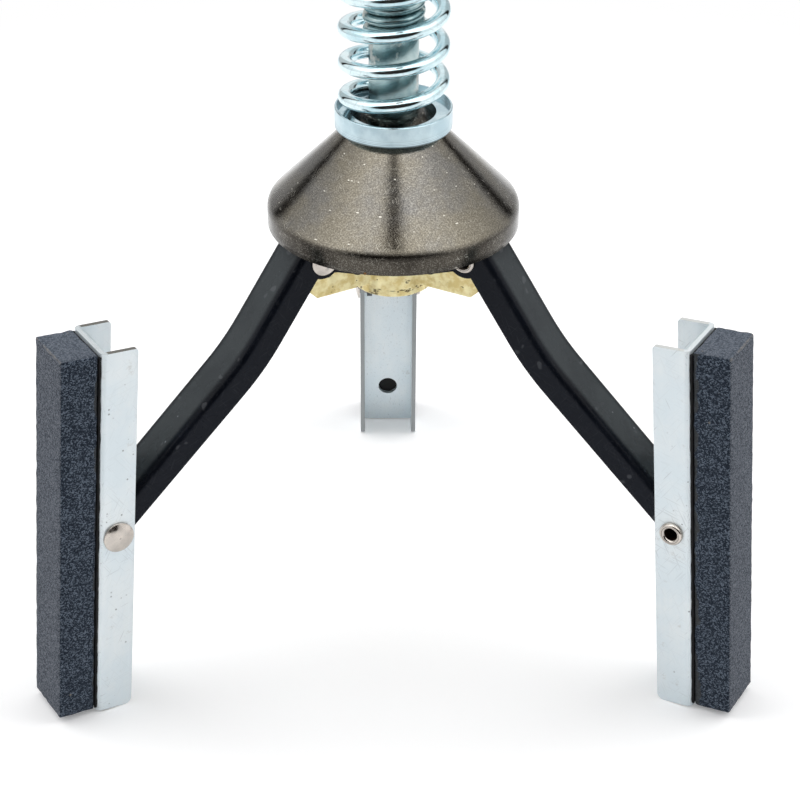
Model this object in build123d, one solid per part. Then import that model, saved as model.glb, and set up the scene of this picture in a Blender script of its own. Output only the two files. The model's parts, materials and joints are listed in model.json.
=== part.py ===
from build123d import *
from math import asin, atan2, cos, hypot, pi, radians, sin, sqrt, tan
import os

os.makedirs("parts", exist_ok=True)

# Layout, in the radial plane of each arm
ARM_BEARINGS = (210.0, 90.0, 330.0)
PIVOT_RADIUS = 23.0
ARM_REACH = 59.0
ARM_DROP = 58.3
STANCE_TILT = 4.5

# Arms, pressed channels with the web outwards
ARM_WIDTH = 12.4
ARM_SHEET = 1.5
ARM_DEPTH = 7.3
ARM_BEND_RADIUS = 2.0
WEB_TO_PIVOT = 6.3
WEB_TO_PIN = 3.3
WEB_PAST_PIVOT = 3.0
WEB_SHORT_OF_PIN = 7.0
KNEE_SHARE_OF_REACH = 0.379
KNEE_SHARE_OF_DROP = 0.351
KNEE_RADIUS = 60.0
LUG_RADIUS = 4.7
TOE_LENGTH = 10.5
TOE_ANGLE = 20.0
TOE_RADIUS = 2.6
TOE_SHELF = 2.1

# Rivets, semi-tubular
RIVET_RADIUS = 2.4
PIVOT_HEAD_RADIUS = 3.5
PIN_HEAD_RADIUS = 3.9
RIVET_HEAD_HEIGHT = 1.3
ROLL_RADIUS = 3.0
ROLL_HEIGHT = 1.0
ROLL_HOLE_RADIUS = 1.6
ROLL_HOLE_DEPTH = 4.0
ROLL_LIP_SHARE = 0.4
HEAD_RIM_SHARE = 0.35

# Stones, their holders and the bond between them
STONE_LENGTH = 100.0
STONE_WIDTH = 15.0
STONE_THICKNESS = 9.6
STONE_EDGE = 0.6
HOLDER_PAST_STONE = 0.4
HOLDER_LENGTH = STONE_LENGTH + HOLDER_PAST_STONE
HOLDER_WIDTH = 16.3
HOLDER_DEPTH = 9.3
HOLDER_SHEET = 1.2
HOLDER_BEND_RADIUS = 1.5
HOLDER_WEB_TO_PIN = 4.9
HOLDER_FOOT_ROUND = 1.8
HOLDER_TOP_ROUND = 0.8
KEY_HOLE_RADIUS = 2.75
KEY_HOLE_FROM_END = 12.0
BOND_THICKNESS = 0.4
BOND_MARGIN = 0.8

# Hub
HUB_BARREL_RADIUS = 10.0
HUB_BELOW_PIVOT = 13.7
EAR_BELOW_PIVOT = 10.8
EAR_PAST_PIVOT = 2.9
EAR_CORNER = 2.0
EAR_CROWN_RADIUS = 4.2
EAR_PAST_BOSS = 1.0
HUB_FOOT_EDGE = 0.8
CAST_EDGE = 0.6

# Spindle and flexible coil shaft
SPINDLE_RADIUS = 6.0
SPINDLE_FLARE = 1.0
SPINDLE_FLARE_HEIGHT = 0.8
SPINDLE_EDGE = 0.4
COIL_BASE_ABOVE_PIVOT = 52.2
COIL_LENGTH = 94.5
COIL_END_BEARING = 190.0
COIL_WIRE_RADIUS = 1.3
COIL_PITCH = 2.7
COIL_CREST_RADIUS = 7.45
NECK_LENGTH = 25.0
NECK_EDGE = 1.0
SHANK_RADIUS = 4.0
SHANK_LENGTH = 30.0
SHANK_EDGE = 0.8
SHANK_COLLAR = 4.0
COLLAR_EDGE = 0.5
SHANK_PLUG_LENGTH = 16.0

# Pressure cone
LIP_DROP = 5.1
LIP_ABOVE_PIVOT = 3.2
LIP_EDGE = 0.4
SHOULDER_RADIUS = 2.8
CONE_SHEET = 1.3
CONE_SLOPE = 45.5
NOSE_RADIUS = 7.2

# Spring, its seat ring and its upper cup
SPRING_RADIUS = 13.4
SPRING_WIRE_RADIUS = 1.75
SPRING_PITCH = 8.7
SPRING_LENGTH = 60.0
SPRING_END_BEARING = 89.0
RING_RADIUS = 14.2
RING_RIM = 0.5
RING_RECESS = 1.5
RING_HEIGHT = 5.3
RING_HOLE_RADIUS = 10.25
RING_SEAT_CHAMFER = 1.2
RING_EDGE = 0.4
RING_RIM_EDGE = 0.2

# Adjusting nut
NUT_RADIUS = 16.0
NUT_HEIGHT = 16.0
NUT_NOSE_STEP = 4.0
NUT_NOSE_HEIGHT = 2.0
NUT_EDGE = 1.0
NUT_TOP_EDGE = 1.5
KNURL_GROOVES = 40
KNURL_DEPTH = 0.6
KNURL_SHARE = 0.5
THREAD_TIP_WIDTH = 0.3
THREAD_ROOT_WIDTH = 1.4
THREAD_ENGAGEMENT = 0.25
THREAD_MARGIN = 1.2

# Clearances
RUNNING_CLEARANCE = 0.05
SIDE_CLEARANCE = 0.2
CONTACT_GAP = 0.3
LIP_CLEARANCE = 0.45
COIL_CLEARANCE = 0.3
BOSS_OVERLAP = 0.6
CUT_MARGIN = 2.0


def slab(outline, width):
    """Give an outline drawn in the radial plane an equal thickness to both sides of that plane."""
    return extrude(Plane.XZ * outline, amount=width / 2, both=True)


def turned(outline):
    """Turn a closed outline of (radius, height) points round the tool's axis."""
    return revolve(Plane.XZ * make_face(Polyline(*outline, close=True)), Axis.Z)


def cross_bar(point, radius, width):
    """Round bar across an arm, through a point of the radial plane."""
    return Pos(point[0], 0, point[1]) * Rot(90, 0, 0) * Cylinder(radius, width)


def touch_point(start, centre, radius, side):
    """Point where a line from start touches the circle round centre (side 1 turns left, -1 right)."""
    run_x = centre[0] - start[0]
    run_z = centre[1] - start[1]
    distance = hypot(run_x, run_z)
    heading = atan2(run_z, run_x) + side * asin(radius / distance)
    run = sqrt(distance**2 - radius**2)
    return (start[0] + run * cos(heading), start[1] + run * sin(heading))


def unit(start, end):
    """Unit direction from one point to another."""
    length = hypot(end[0] - start[0], end[1] - start[1])
    return ((end[0] - start[0]) / length, (end[1] - start[1]) / length)


def step(point, direction, length):
    """Point a given length away in a unit direction."""
    return (point[0] + direction[0] * length, point[1] + direction[1] * length)


def disc(centre, radius):
    """Round outline in the radial plane."""
    return Pos(centre[0], centre[1]) * Circle(radius)


def rounded_corner(outline, corner, radius):
    """Round the corner of an outline that lies nearest to a point."""
    nearest = outline.vertices().sort_by_distance(Vector(corner[0], corner[1], 0))[0]
    return fillet(nearest, radius)


# Holder, bond and stone, round the holder's own pin
web_outer = HOLDER_WEB_TO_PIN
holder_middle = web_outer - HOLDER_DEPTH / 2
holder = Pos(holder_middle, 0, 0) * Box(HOLDER_DEPTH, HOLDER_WIDTH, HOLDER_LENGTH)
bend_edges = holder.edges().filter_by(Axis.Z).group_by(Axis.X)[-1]
holder = fillet(bend_edges, HOLDER_BEND_RADIUS)
top_corners = holder.edges().filter_by(Axis.Y).group_by(Axis.X)[0].sort_by(Axis.Z)
holder = fillet(top_corners[-1], HOLDER_TOP_ROUND)
foot_corners = holder.edges().filter_by(Axis.Y).group_by(Axis.Z)[0].sort_by(Axis.X)
holder = fillet(foot_corners[0], HOLDER_FOOT_ROUND)
channel_width = HOLDER_WIDTH - 2 * HOLDER_SHEET
holder -= Pos(holder_middle - HOLDER_SHEET, 0, 0) * Box(
    HOLDER_DEPTH, channel_width, HOLDER_LENGTH + CUT_MARGIN
)
holder -= cross_bar((0, 0), RIVET_RADIUS + RUNNING_CLEARANCE, HOLDER_WIDTH + CUT_MARGIN)
key_height = HOLDER_LENGTH / 2 - KEY_HOLE_FROM_END
key_hole = Rot(0, 90, 0) * Cylinder(KEY_HOLE_RADIUS, 2 * (HOLDER_SHEET + CUT_MARGIN))
for height in (-key_height, key_height):
    holder -= Pos(web_outer, 0, height) * key_hole

bond = Pos(web_outer + BOND_THICKNESS / 2, 0, 0) * Box(
    BOND_THICKNESS, STONE_WIDTH - 2 * BOND_MARGIN, STONE_LENGTH - 2 * BOND_MARGIN
)
stone_face = web_outer + BOND_THICKNESS + STONE_THICKNESS
stone = Pos(stone_face - STONE_THICKNESS / 2, 0, 0) * Box(
    STONE_THICKNESS, STONE_WIDTH, STONE_LENGTH
)
stone = fillet(stone.edges(), STONE_EDGE)

# Heights, counted from the surface that the tilted stones stand on
tilted = Rot(0, -STANCE_TILT, 0)
pin_height = -min((tilted * holder).bounding_box().min.Z, (tilted * stone).bounding_box().min.Z)
pin = (PIVOT_RADIUS + ARM_REACH, pin_height)
pivot = (PIVOT_RADIUS, pin_height + ARM_DROP)

# Arm outline: web through the knee, touching a circle round each joint
knee = (pivot[0] + KNEE_SHARE_OF_REACH * ARM_REACH, pivot[1] - KNEE_SHARE_OF_DROP * ARM_DROP)
upper_foot = touch_point(knee, pivot, WEB_TO_PIVOT, -1)
lower_foot = touch_point(knee, pin, WEB_TO_PIN, 1)
up = unit(knee, upper_foot)
down = unit(knee, lower_foot)
in_upper = (-up[1], up[0])
in_lower = (down[1], -down[0])
corner_scale = 1 / (1 + in_upper[0] * in_lower[0] + in_upper[1] * in_lower[1])
in_knee = ((in_upper[0] + in_lower[0]) * corner_scale, (in_upper[1] + in_lower[1]) * corner_scale)
web_top = step(upper_foot, up, WEB_PAST_PIVOT)

knee_back = step(knee, in_knee, ARM_DEPTH)
channel_outline = Polygon(
    web_top,
    knee,
    lower_foot,
    step(lower_foot, in_lower, 2 * WEB_TO_PIN),
    knee_back,
    step(web_top, in_upper, ARM_DEPTH),
    align=None,
)
channel_outline = rounded_corner(channel_outline, knee, KNEE_RADIUS)
channel_outline = rounded_corner(channel_outline, knee_back, KNEE_RADIUS + ARM_DEPTH)
channel = slab(channel_outline, ARM_WIDTH)
outwards = Vector(-in_knee[0], 0, -in_knee[1]).normalized()
web_faces = channel.faces().filter_by(lambda face: face.normal_at().dot(outwards) > 0.9)
bends = [
    edge for face in web_faces for edge in face.edges() if abs(abs(edge.center().Y) - ARM_WIDTH / 2) < 0.01
]
channel = fillet(bends, ARM_BEND_RADIUS)

# Toe that the cone presses, a lug round the pivot and the rounded pin end
toe = (
    pivot[0] - TOE_LENGTH * cos(radians(TOE_ANGLE)),
    pivot[1] - TOE_LENGTH * sin(radians(TOE_ANGLE)),
)
toe_top = toe[1] + TOE_RADIUS
toe_outline = Polygon(
    (toe[0], toe[1] - TOE_RADIUS),
    (pivot[0], pivot[1] - TOE_RADIUS),
    step(web_top, in_upper, ARM_SHEET),
    (toe[0] + TOE_SHELF, toe_top),
    (toe[0], toe_top),
    align=None,
)
flange_outline = toe_outline + disc(toe, TOE_RADIUS) + disc(pivot, LUG_RADIUS)
arm = channel + slab(flange_outline, ARM_WIDTH) + slab(disc(pin, WEB_TO_PIN), ARM_WIDTH)

# Hollow of the channel, open inwards and past the web's two ends
reach_in = 4 * ARM_DEPTH
knee_inner = step(knee, in_knee, ARM_SHEET)
top_inner = step(step(web_top, in_upper, ARM_SHEET), up, reach_in)
web_end = step(step(lower_foot, in_lower, ARM_SHEET), down, -WEB_SHORT_OF_PIN)
web_end_out = step(web_end, in_lower, -2 * ARM_SHEET)
past_pin = step(web_end_out, down, reach_in)
hollow_outline = Polygon(
    top_inner,
    knee_inner,
    web_end,
    web_end_out,
    past_pin,
    step(past_pin, in_lower, reach_in),
    step(knee, in_knee, reach_in),
    step(top_inner, in_upper, reach_in),
    align=None,
)
hollow_outline = rounded_corner(hollow_outline, knee_inner, KNEE_RADIUS + ARM_SHEET)
arm -= slab(hollow_outline, ARM_WIDTH - 2 * ARM_SHEET)
arm -= cross_bar(pivot, RIVET_RADIUS + RUNNING_CLEARANCE, ARM_WIDTH + CUT_MARGIN)
arm -= cross_bar(pin, RIVET_RADIUS + RUNNING_CLEARANCE, ARM_WIDTH + CUT_MARGIN)


def rivet(grip, head_radius):
    """Rivet along Z: domed head above the grip, rolled hollow end below it."""
    top = grip / 2
    foot = -grip / 2
    lip = foot - ROLL_LIP_SHARE * ROLL_HEIGHT
    rim = top + HEAD_RIM_SHARE * RIVET_HEAD_HEIGHT
    crown = top + RIVET_HEAD_HEIGHT
    rise = crown - rim
    dome_radius = (head_radius**2 + rise**2) / (2 * rise)
    half_angle = asin(head_radius / dome_radius) / 2
    dome_middle = (dome_radius * sin(half_angle), crown - dome_radius * (1 - cos(half_angle)))
    roll_middle = (ROLL_RADIUS + ROLL_HOLE_RADIUS) / 2
    inside = Polyline(
        (0, crown),
        (0, foot + ROLL_HOLE_DEPTH),
        (ROLL_HOLE_RADIUS, foot + ROLL_HOLE_DEPTH),
        (ROLL_HOLE_RADIUS, lip),
    )
    roll = ThreePointArc((ROLL_HOLE_RADIUS, lip), (roll_middle, foot - ROLL_HEIGHT), (ROLL_RADIUS, lip))
    side = Polyline(
        (ROLL_RADIUS, lip),
        (ROLL_RADIUS, foot),
        (RIVET_RADIUS, foot),
        (RIVET_RADIUS, top),
        (head_radius, top),
        (head_radius, rim),
    )
    dome = ThreePointArc((head_radius, rim), dome_middle, (0, crown))
    outline = make_face(Curve() + [inside, roll, side, dome])
    return revolve(Plane.XZ * outline, Axis.Z)


head_outwards = Rot(-90, 0, 0)
pivot_rivet = head_outwards * rivet(ARM_WIDTH + SIDE_CLEARANCE, PIVOT_HEAD_RADIUS)
pivot_rivet = Pos(pivot[0], 0, pivot[1]) * pivot_rivet
pin_rivet = head_outwards * rivet(HOLDER_WIDTH + SIDE_CLEARANCE, PIN_HEAD_RADIUS)

# Hub: a barrel that stops the cone, and an ear between the two sides of each arm
boss_height = toe_top + CONTACT_GAP
barrel_top = boss_height - CONTACT_GAP
hub_bottom = pivot[1] - HUB_BELOW_PIVOT
barrel_height = barrel_top - hub_bottom
hub = Pos(0, 0, hub_bottom + barrel_height / 2) * Cylinder(HUB_BARREL_RADIUS, barrel_height)
ear_bottom = pivot[1] - EAR_BELOW_PIVOT
ear_end = pivot[0] + EAR_PAST_PIVOT
boss_radius = hypot(toe[0] + BOSS_OVERLAP, ARM_WIDTH / 2)
ear_outline = Polygon(
    (0, ear_bottom),
    (ear_end - EAR_CORNER, ear_bottom),
    (ear_end, ear_bottom + EAR_CORNER),
    (ear_end, pivot[1]),
    (boss_radius + EAR_PAST_BOSS, barrel_top),
    (0, barrel_top),
    align=None,
)
ear_width = ARM_WIDTH - 2 * ARM_SHEET - 2 * SIDE_CLEARANCE
ear = slab(ear_outline + disc(pivot, EAR_CROWN_RADIUS), ear_width)
ear_foot = ear.edges().filter_by(lambda edge: edge.center().Z < ear_bottom + EAR_CORNER)
ear = fillet(ear_foot.filter_by(lambda edge: abs(edge.center().Y) > ear_width / 2 - 0.01), CAST_EDGE)
ear -= cross_bar(pivot, RIVET_RADIUS + RUNNING_CLEARANCE, ARM_WIDTH)
for bearing in ARM_BEARINGS:
    hub += Rot(0, 0, bearing) * ear
hub = fillet(hub.edges().filter_by(GeomType.CIRCLE).group_by(Axis.Z)[0], HUB_FOOT_EDGE)
hub -= Pos(0, 0, hub_bottom) * Cylinder(SPINDLE_RADIUS, 2 * (barrel_height + CUT_MARGIN))

# Spindle, swaged under the hub, with a neck inside the coil
coil_base = pivot[1] + COIL_BASE_ABOVE_PIVOT
coil_radius = COIL_CREST_RADIUS - COIL_WIRE_RADIUS
neck_radius = coil_radius - COIL_WIRE_RADIUS - RUNNING_CLEARANCE
flare_radius = SPINDLE_RADIUS + SPINDLE_FLARE
spindle = turned(
    [
        (0, hub_bottom - SPINDLE_FLARE_HEIGHT),
        (flare_radius - SPINDLE_EDGE, hub_bottom - SPINDLE_FLARE_HEIGHT),
        (flare_radius, hub_bottom - SPINDLE_FLARE_HEIGHT + SPINDLE_EDGE),
        (flare_radius, hub_bottom),
        (SPINDLE_RADIUS, hub_bottom),
        (SPINDLE_RADIUS, coil_base - SPINDLE_EDGE),
        (SPINDLE_RADIUS - SPINDLE_EDGE, coil_base),
        (neck_radius, coil_base),
        (neck_radius, coil_base + NECK_LENGTH - NECK_EDGE),
        (neck_radius - NECK_EDGE, coil_base + NECK_LENGTH),
        (0, coil_base + NECK_LENGTH),
    ]
)

# Flexible shaft, a close-wound coil
coil_path = Helix(COIL_PITCH, COIL_LENGTH - 2 * COIL_WIRE_RADIUS, coil_radius)
coil_section = Plane(coil_path @ 0, z_dir=coil_path % 0) * Circle(COIL_WIRE_RADIUS)
coil_start = coil_base + COIL_WIRE_RADIUS
coil_turn = Rot(0, 0, COIL_END_BEARING)
flexible_coil = Pos(0, 0, coil_start) * coil_turn * sweep(coil_section, path=coil_path, is_frenet=True)

# Drive shank with its plug inside the coil's top
coil_top = coil_base + COIL_LENGTH
collar_top = coil_top + SHANK_COLLAR
shank_top = collar_top + SHANK_LENGTH
drive_shank = turned(
    [
        (0, coil_top - SHANK_PLUG_LENGTH),
        (neck_radius - NECK_EDGE, coil_top - SHANK_PLUG_LENGTH),
        (neck_radius, coil_top - SHANK_PLUG_LENGTH + NECK_EDGE),
        (neck_radius, coil_top),
        (COIL_CREST_RADIUS - COLLAR_EDGE, coil_top),
        (COIL_CREST_RADIUS, coil_top + COLLAR_EDGE),
        (COIL_CREST_RADIUS, collar_top - SHANK_EDGE),
        (COIL_CREST_RADIUS - SHANK_EDGE, collar_top),
        (SHANK_RADIUS, collar_top),
        (SHANK_RADIUS, shank_top - SHANK_EDGE),
        (SHANK_RADIUS - SHANK_EDGE, shank_top),
        (0, shank_top),
    ]
)

# Pressure cone: a thin bell with a solid boss that guides on the spindle and presses the toes
slope = tan(radians(CONE_SLOPE))
lip_bottom = pivot[1] + LIP_ABOVE_PIVOT
lip_rise = (lip_bottom - upper_foot[1]) / up[1]
web_at_lip = upper_foot[0] + up[0] * lip_rise
rim_inner = hypot(web_at_lip, ARM_WIDTH / 2) + LIP_CLEARANCE
rim_outer = rim_inner + CONE_SHEET
lip_top = lip_bottom + LIP_DROP
sheet_drop = CONE_SHEET / cos(radians(CONE_SLOPE))
cone_bore = SPINDLE_RADIUS + RUNNING_CLEARANCE
nose_height = lip_top + (rim_outer - NOSE_RADIUS) * slope
pressure_cone = turned(
    [
        (cone_bore, boss_height),
        (boss_radius, boss_height),
        (boss_radius, lip_top + (rim_outer - boss_radius) * slope - sheet_drop),
        (rim_inner, lip_top + CONE_SHEET * slope - sheet_drop),
        (rim_inner, lip_bottom),
        (rim_outer, lip_bottom),
        (rim_outer, lip_top),
        (NOSE_RADIUS, nose_height),
        (cone_bore, nose_height),
    ]
)
rim_edges = pressure_cone.edges().filter_by(GeomType.CIRCLE).sort_by(SortBy.RADIUS)[-2:]
pressure_cone = fillet(rim_edges.sort_by(Axis.Z)[-1], SHOULDER_RADIUS)
foot_edge = pressure_cone.edges().filter_by(GeomType.CIRCLE).group_by(Axis.Z)[0].sort_by(SortBy.RADIUS)[-1]
pressure_cone = fillet(foot_edge, LIP_EDGE)

# Spring seat ring, chamfered to sit on the cone
ring_foot = lip_top + (rim_outer - RING_HOLE_RADIUS) * slope - RING_SEAT_CHAMFER
foot_radius = RING_HOLE_RADIUS + RING_SEAT_CHAMFER / slope
ring_top = ring_foot + RING_HEIGHT
seat_height = ring_top - RING_RECESS
spring_seat_ring = turned(
    [
        (foot_radius, ring_foot),
        (RING_RADIUS - RING_EDGE, ring_foot),
        (RING_RADIUS, ring_foot + RING_EDGE),
        (RING_RADIUS, ring_top - RING_RIM_EDGE),
        (RING_RADIUS - RING_RIM_EDGE, ring_top),
        (RING_RADIUS - RING_RIM, ring_top),
        (RING_RADIUS - RING_RIM, seat_height),
        (RING_HOLE_RADIUS, seat_height),
        (RING_HOLE_RADIUS, ring_foot + RING_SEAT_CHAMFER),
    ]
)

# Tension spring with plain ends
spring_coil_radius = SPRING_RADIUS - SPRING_WIRE_RADIUS
spring_path = Helix(SPRING_PITCH, SPRING_LENGTH - 2 * SPRING_WIRE_RADIUS, spring_coil_radius)
spring_section = Plane(spring_path @ 0, z_dir=spring_path % 0) * Circle(SPRING_WIRE_RADIUS)
spring_body = sweep(spring_section, path=spring_path, is_frenet=True)
spring_start = seat_height + SPRING_WIRE_RADIUS
tension_spring = Pos(0, 0, spring_start) * Rot(0, 0, SPRING_END_BEARING) * spring_body

# Upper cup, the seat ring's shape turned over, free on the coil
spring_top = seat_height + SPRING_LENGTH
cup_bottom = spring_top - RING_RECESS
cup_top = cup_bottom + RING_HEIGHT
cup_bore = COIL_CREST_RADIUS + COIL_CLEARANCE
upper_spring_cup = turned(
    [
        (cup_bore, spring_top),
        (RING_RADIUS - RING_RIM, spring_top),
        (RING_RADIUS - RING_RIM, cup_bottom),
        (RING_RADIUS - RING_RIM_EDGE, cup_bottom),
        (RING_RADIUS, cup_bottom + RING_RIM_EDGE),
        (RING_RADIUS, cup_top - RING_EDGE),
        (RING_RADIUS - RING_EDGE, cup_top),
        (cup_bore, cup_top),
    ]
)

# Adjusting nut with a knurled rim, threaded to the coil
nut_top = cup_top + NUT_HEIGHT
nose_top = cup_top + NUT_NOSE_HEIGHT
thread_root = COIL_CREST_RADIUS + COIL_CLEARANCE
adjusting_nut = turned(
    [
        (thread_root, cup_top),
        (NUT_RADIUS - NUT_NOSE_STEP, cup_top),
        (NUT_RADIUS - NUT_NOSE_STEP, nose_top),
        (NUT_RADIUS - NUT_EDGE, nose_top),
        (NUT_RADIUS, nose_top + NUT_EDGE),
        (NUT_RADIUS, nut_top - NUT_TOP_EDGE),
        (NUT_RADIUS - NUT_TOP_EDGE, nut_top),
        (thread_root + NUT_EDGE, nut_top),
        (thread_root, nut_top - NUT_EDGE),
    ]
)
groove_radius = pi * NUT_RADIUS / KNURL_GROOVES * KNURL_SHARE
groove = Pos(NUT_RADIUS + groove_radius - KNURL_DEPTH, 0, cup_top + NUT_HEIGHT / 2) * Cylinder(
    groove_radius, NUT_HEIGHT + CUT_MARGIN
)
for number in range(KNURL_GROOVES):
    adjusting_nut -= Rot(0, 0, number * 360 / KNURL_GROOVES) * groove

# One continuous ridge in the nut, half a pitch off the coil's turns
turns_below = int((cup_top + THREAD_MARGIN - coil_start) / COIL_PITCH + 0.5)
ridge_start = coil_start + (turns_below + 0.5) * COIL_PITCH
ridge_path = Helix(COIL_PITCH, nut_top - THREAD_MARGIN - COIL_PITCH - ridge_start, thread_root)
ridge_section = Plane(ridge_path @ 0, x_dir=(1, 0, 0), z_dir=ridge_path % 0) * Polygon(
    (-COIL_CLEARANCE - THREAD_ENGAGEMENT, -THREAD_TIP_WIDTH / 2),
    (-COIL_CLEARANCE - THREAD_ENGAGEMENT, THREAD_TIP_WIDTH / 2),
    (COIL_CLEARANCE, THREAD_ROOT_WIDTH / 2),
    (COIL_CLEARANCE, -THREAD_ROOT_WIDTH / 2),
    align=None,
)
adjusting_nut += Pos(0, 0, ridge_start) * coil_turn * sweep(ridge_section, path=ridge_path, is_frenet=True)

# Everything is moved so that the drive shank's root is the origin
to_origin = Pos(0, 0, -collar_top)


def write(shape, name):
    """Store one piece."""
    export_step(to_origin * shape, f"parts/{name}.step")


write(spindle, "spindle")
write(hub, "hub")
write(pressure_cone, "pressure_cone")
write(spring_seat_ring, "spring_seat_ring")
write(tension_spring, "tension_spring")
write(upper_spring_cup, "upper_spring_cup")
write(adjusting_nut, "adjusting_nut")
write(flexible_coil, "flexible_coil")
write(drive_shank, "drive_shank")
for number, bearing in enumerate(ARM_BEARINGS, start=1):
    turn = Rot(0, 0, bearing)
    stance = turn * Pos(pin[0], 0, pin[1]) * tilted
    write(turn * arm, f"arm_{number}")
    write(turn * pivot_rivet, f"pivot_rivet_{number}")
    write(stance * pin_rivet, f"holder_rivet_{number}")
    write(stance * holder, f"stone_holder_{number}")
    write(stance * bond, f"bond_{number}")
    write(stance * stone, f"stone_{number}")
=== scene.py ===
import json
import logging
from abc import ABC, abstractmethod
from collections.abc import Callable
from dataclasses import dataclass, replace
from enum import Enum
from functools import partialmethod, reduce
from math import cos, pi, radians, sin

import bmesh
import bpy
from mathutils import Euler, Matrix, Vector


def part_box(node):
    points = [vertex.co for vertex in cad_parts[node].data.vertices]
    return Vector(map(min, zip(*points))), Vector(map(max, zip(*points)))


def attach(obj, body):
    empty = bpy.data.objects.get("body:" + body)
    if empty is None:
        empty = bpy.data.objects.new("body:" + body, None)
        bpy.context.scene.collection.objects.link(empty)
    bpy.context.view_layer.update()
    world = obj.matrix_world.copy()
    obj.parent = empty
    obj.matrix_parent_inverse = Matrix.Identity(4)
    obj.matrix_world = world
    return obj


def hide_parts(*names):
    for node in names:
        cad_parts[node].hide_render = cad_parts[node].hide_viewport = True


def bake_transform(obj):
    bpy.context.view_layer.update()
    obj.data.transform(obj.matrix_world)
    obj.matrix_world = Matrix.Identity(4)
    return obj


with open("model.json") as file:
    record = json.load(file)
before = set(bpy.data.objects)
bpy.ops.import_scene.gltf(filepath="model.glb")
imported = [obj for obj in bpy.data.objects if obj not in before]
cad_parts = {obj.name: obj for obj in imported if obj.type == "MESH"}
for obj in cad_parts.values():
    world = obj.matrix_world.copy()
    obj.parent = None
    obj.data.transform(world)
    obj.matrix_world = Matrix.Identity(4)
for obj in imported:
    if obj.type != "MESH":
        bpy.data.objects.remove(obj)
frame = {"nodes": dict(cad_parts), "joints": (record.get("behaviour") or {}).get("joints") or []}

log = logging.getLogger("cylinder_hone")

MM = 0.001
Point = tuple[float, float, float]
Colour = tuple[float, float, float]
Range = tuple[float, float]
Socket = bpy.types.NodeSocket
Sockets = bpy.types.bpy_prop_collection
Feed = Socket | float | Colour

UP: Range = (0.0, 1.0)
DOWN: Range = (1.0, 0.0)
WHITE: Colour = (1.0, 1.0, 1.0)
# Colour sockets of the mix node, which has one set for each type of data
MIX_INPUTS = (0, 6, 7)
MIX_RESULT = 2


@dataclass(frozen=True)
class Ramp:
    """Step of a value, soft at both ends: where it starts and ends, and what it gives there."""

    start: Feed
    end: Feed
    gives: Range = UP

    def past(self, level: float) -> "Ramp":
        """Give the same ramp, counted from a level."""
        return replace(self, start=level + self.start, end=level + self.end)


class Grain(Enum):
    """How a pattern is stretched over a piece, as shares of its scale along x, y and z."""

    ALONG_Z = (1.0, 1.0, 0.07)
    LYING = (0.16, 1.0, 1.0)
    SCRATCH = (1.0, 1.0, 0.05)
    FLECK = (0.4, 1.0, 1.0)


class Side(Enum):
    """Side of a holder's middle plane, counted along its rivet."""

    HEAD = 1.0
    ROLL = -1.0


# Places in the frame


def joint_point(name: str) -> Point:
    """Find the place of a joint.

    Args:
        name: Name of the joint in the record.

    Returns:
        A point on the joint's axis, in metres.
    """
    return tuple(next(joint["pos_m"] for joint in frame["joints"] if joint["name"] == name))


def towards(bearing: float, lift: float) -> Vector:
    """Give a direction from its bearing from the front and its lift, in degrees."""
    swing = radians(bearing)
    rise = radians(lift)
    return Vector((sin(swing) * cos(rise), -cos(swing) * cos(rise), sin(rise)))


@dataclass(frozen=True)
class Place:
    """Where a piece was drawn: its own origin, its bearing round the tool and its tilt."""

    origin: Point = (0.0, 0.0, 0.0)
    bearing: float = 0.0
    tilt: float = 0.0

    def matrix(self) -> Matrix:
        """Give the matrix from the piece's own frame to the tool's frame."""
        turn = Matrix.Rotation(radians(self.bearing), 4, "Z")
        lean = Matrix.Rotation(-radians(self.tilt), 4, "Y")
        return Matrix.Translation(self.origin) @ turn @ lean

    def angles(self) -> Euler:
        """Give the same turn as three angles."""
        return self.matrix().to_euler("XYZ")


# Modelling by hand


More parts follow.
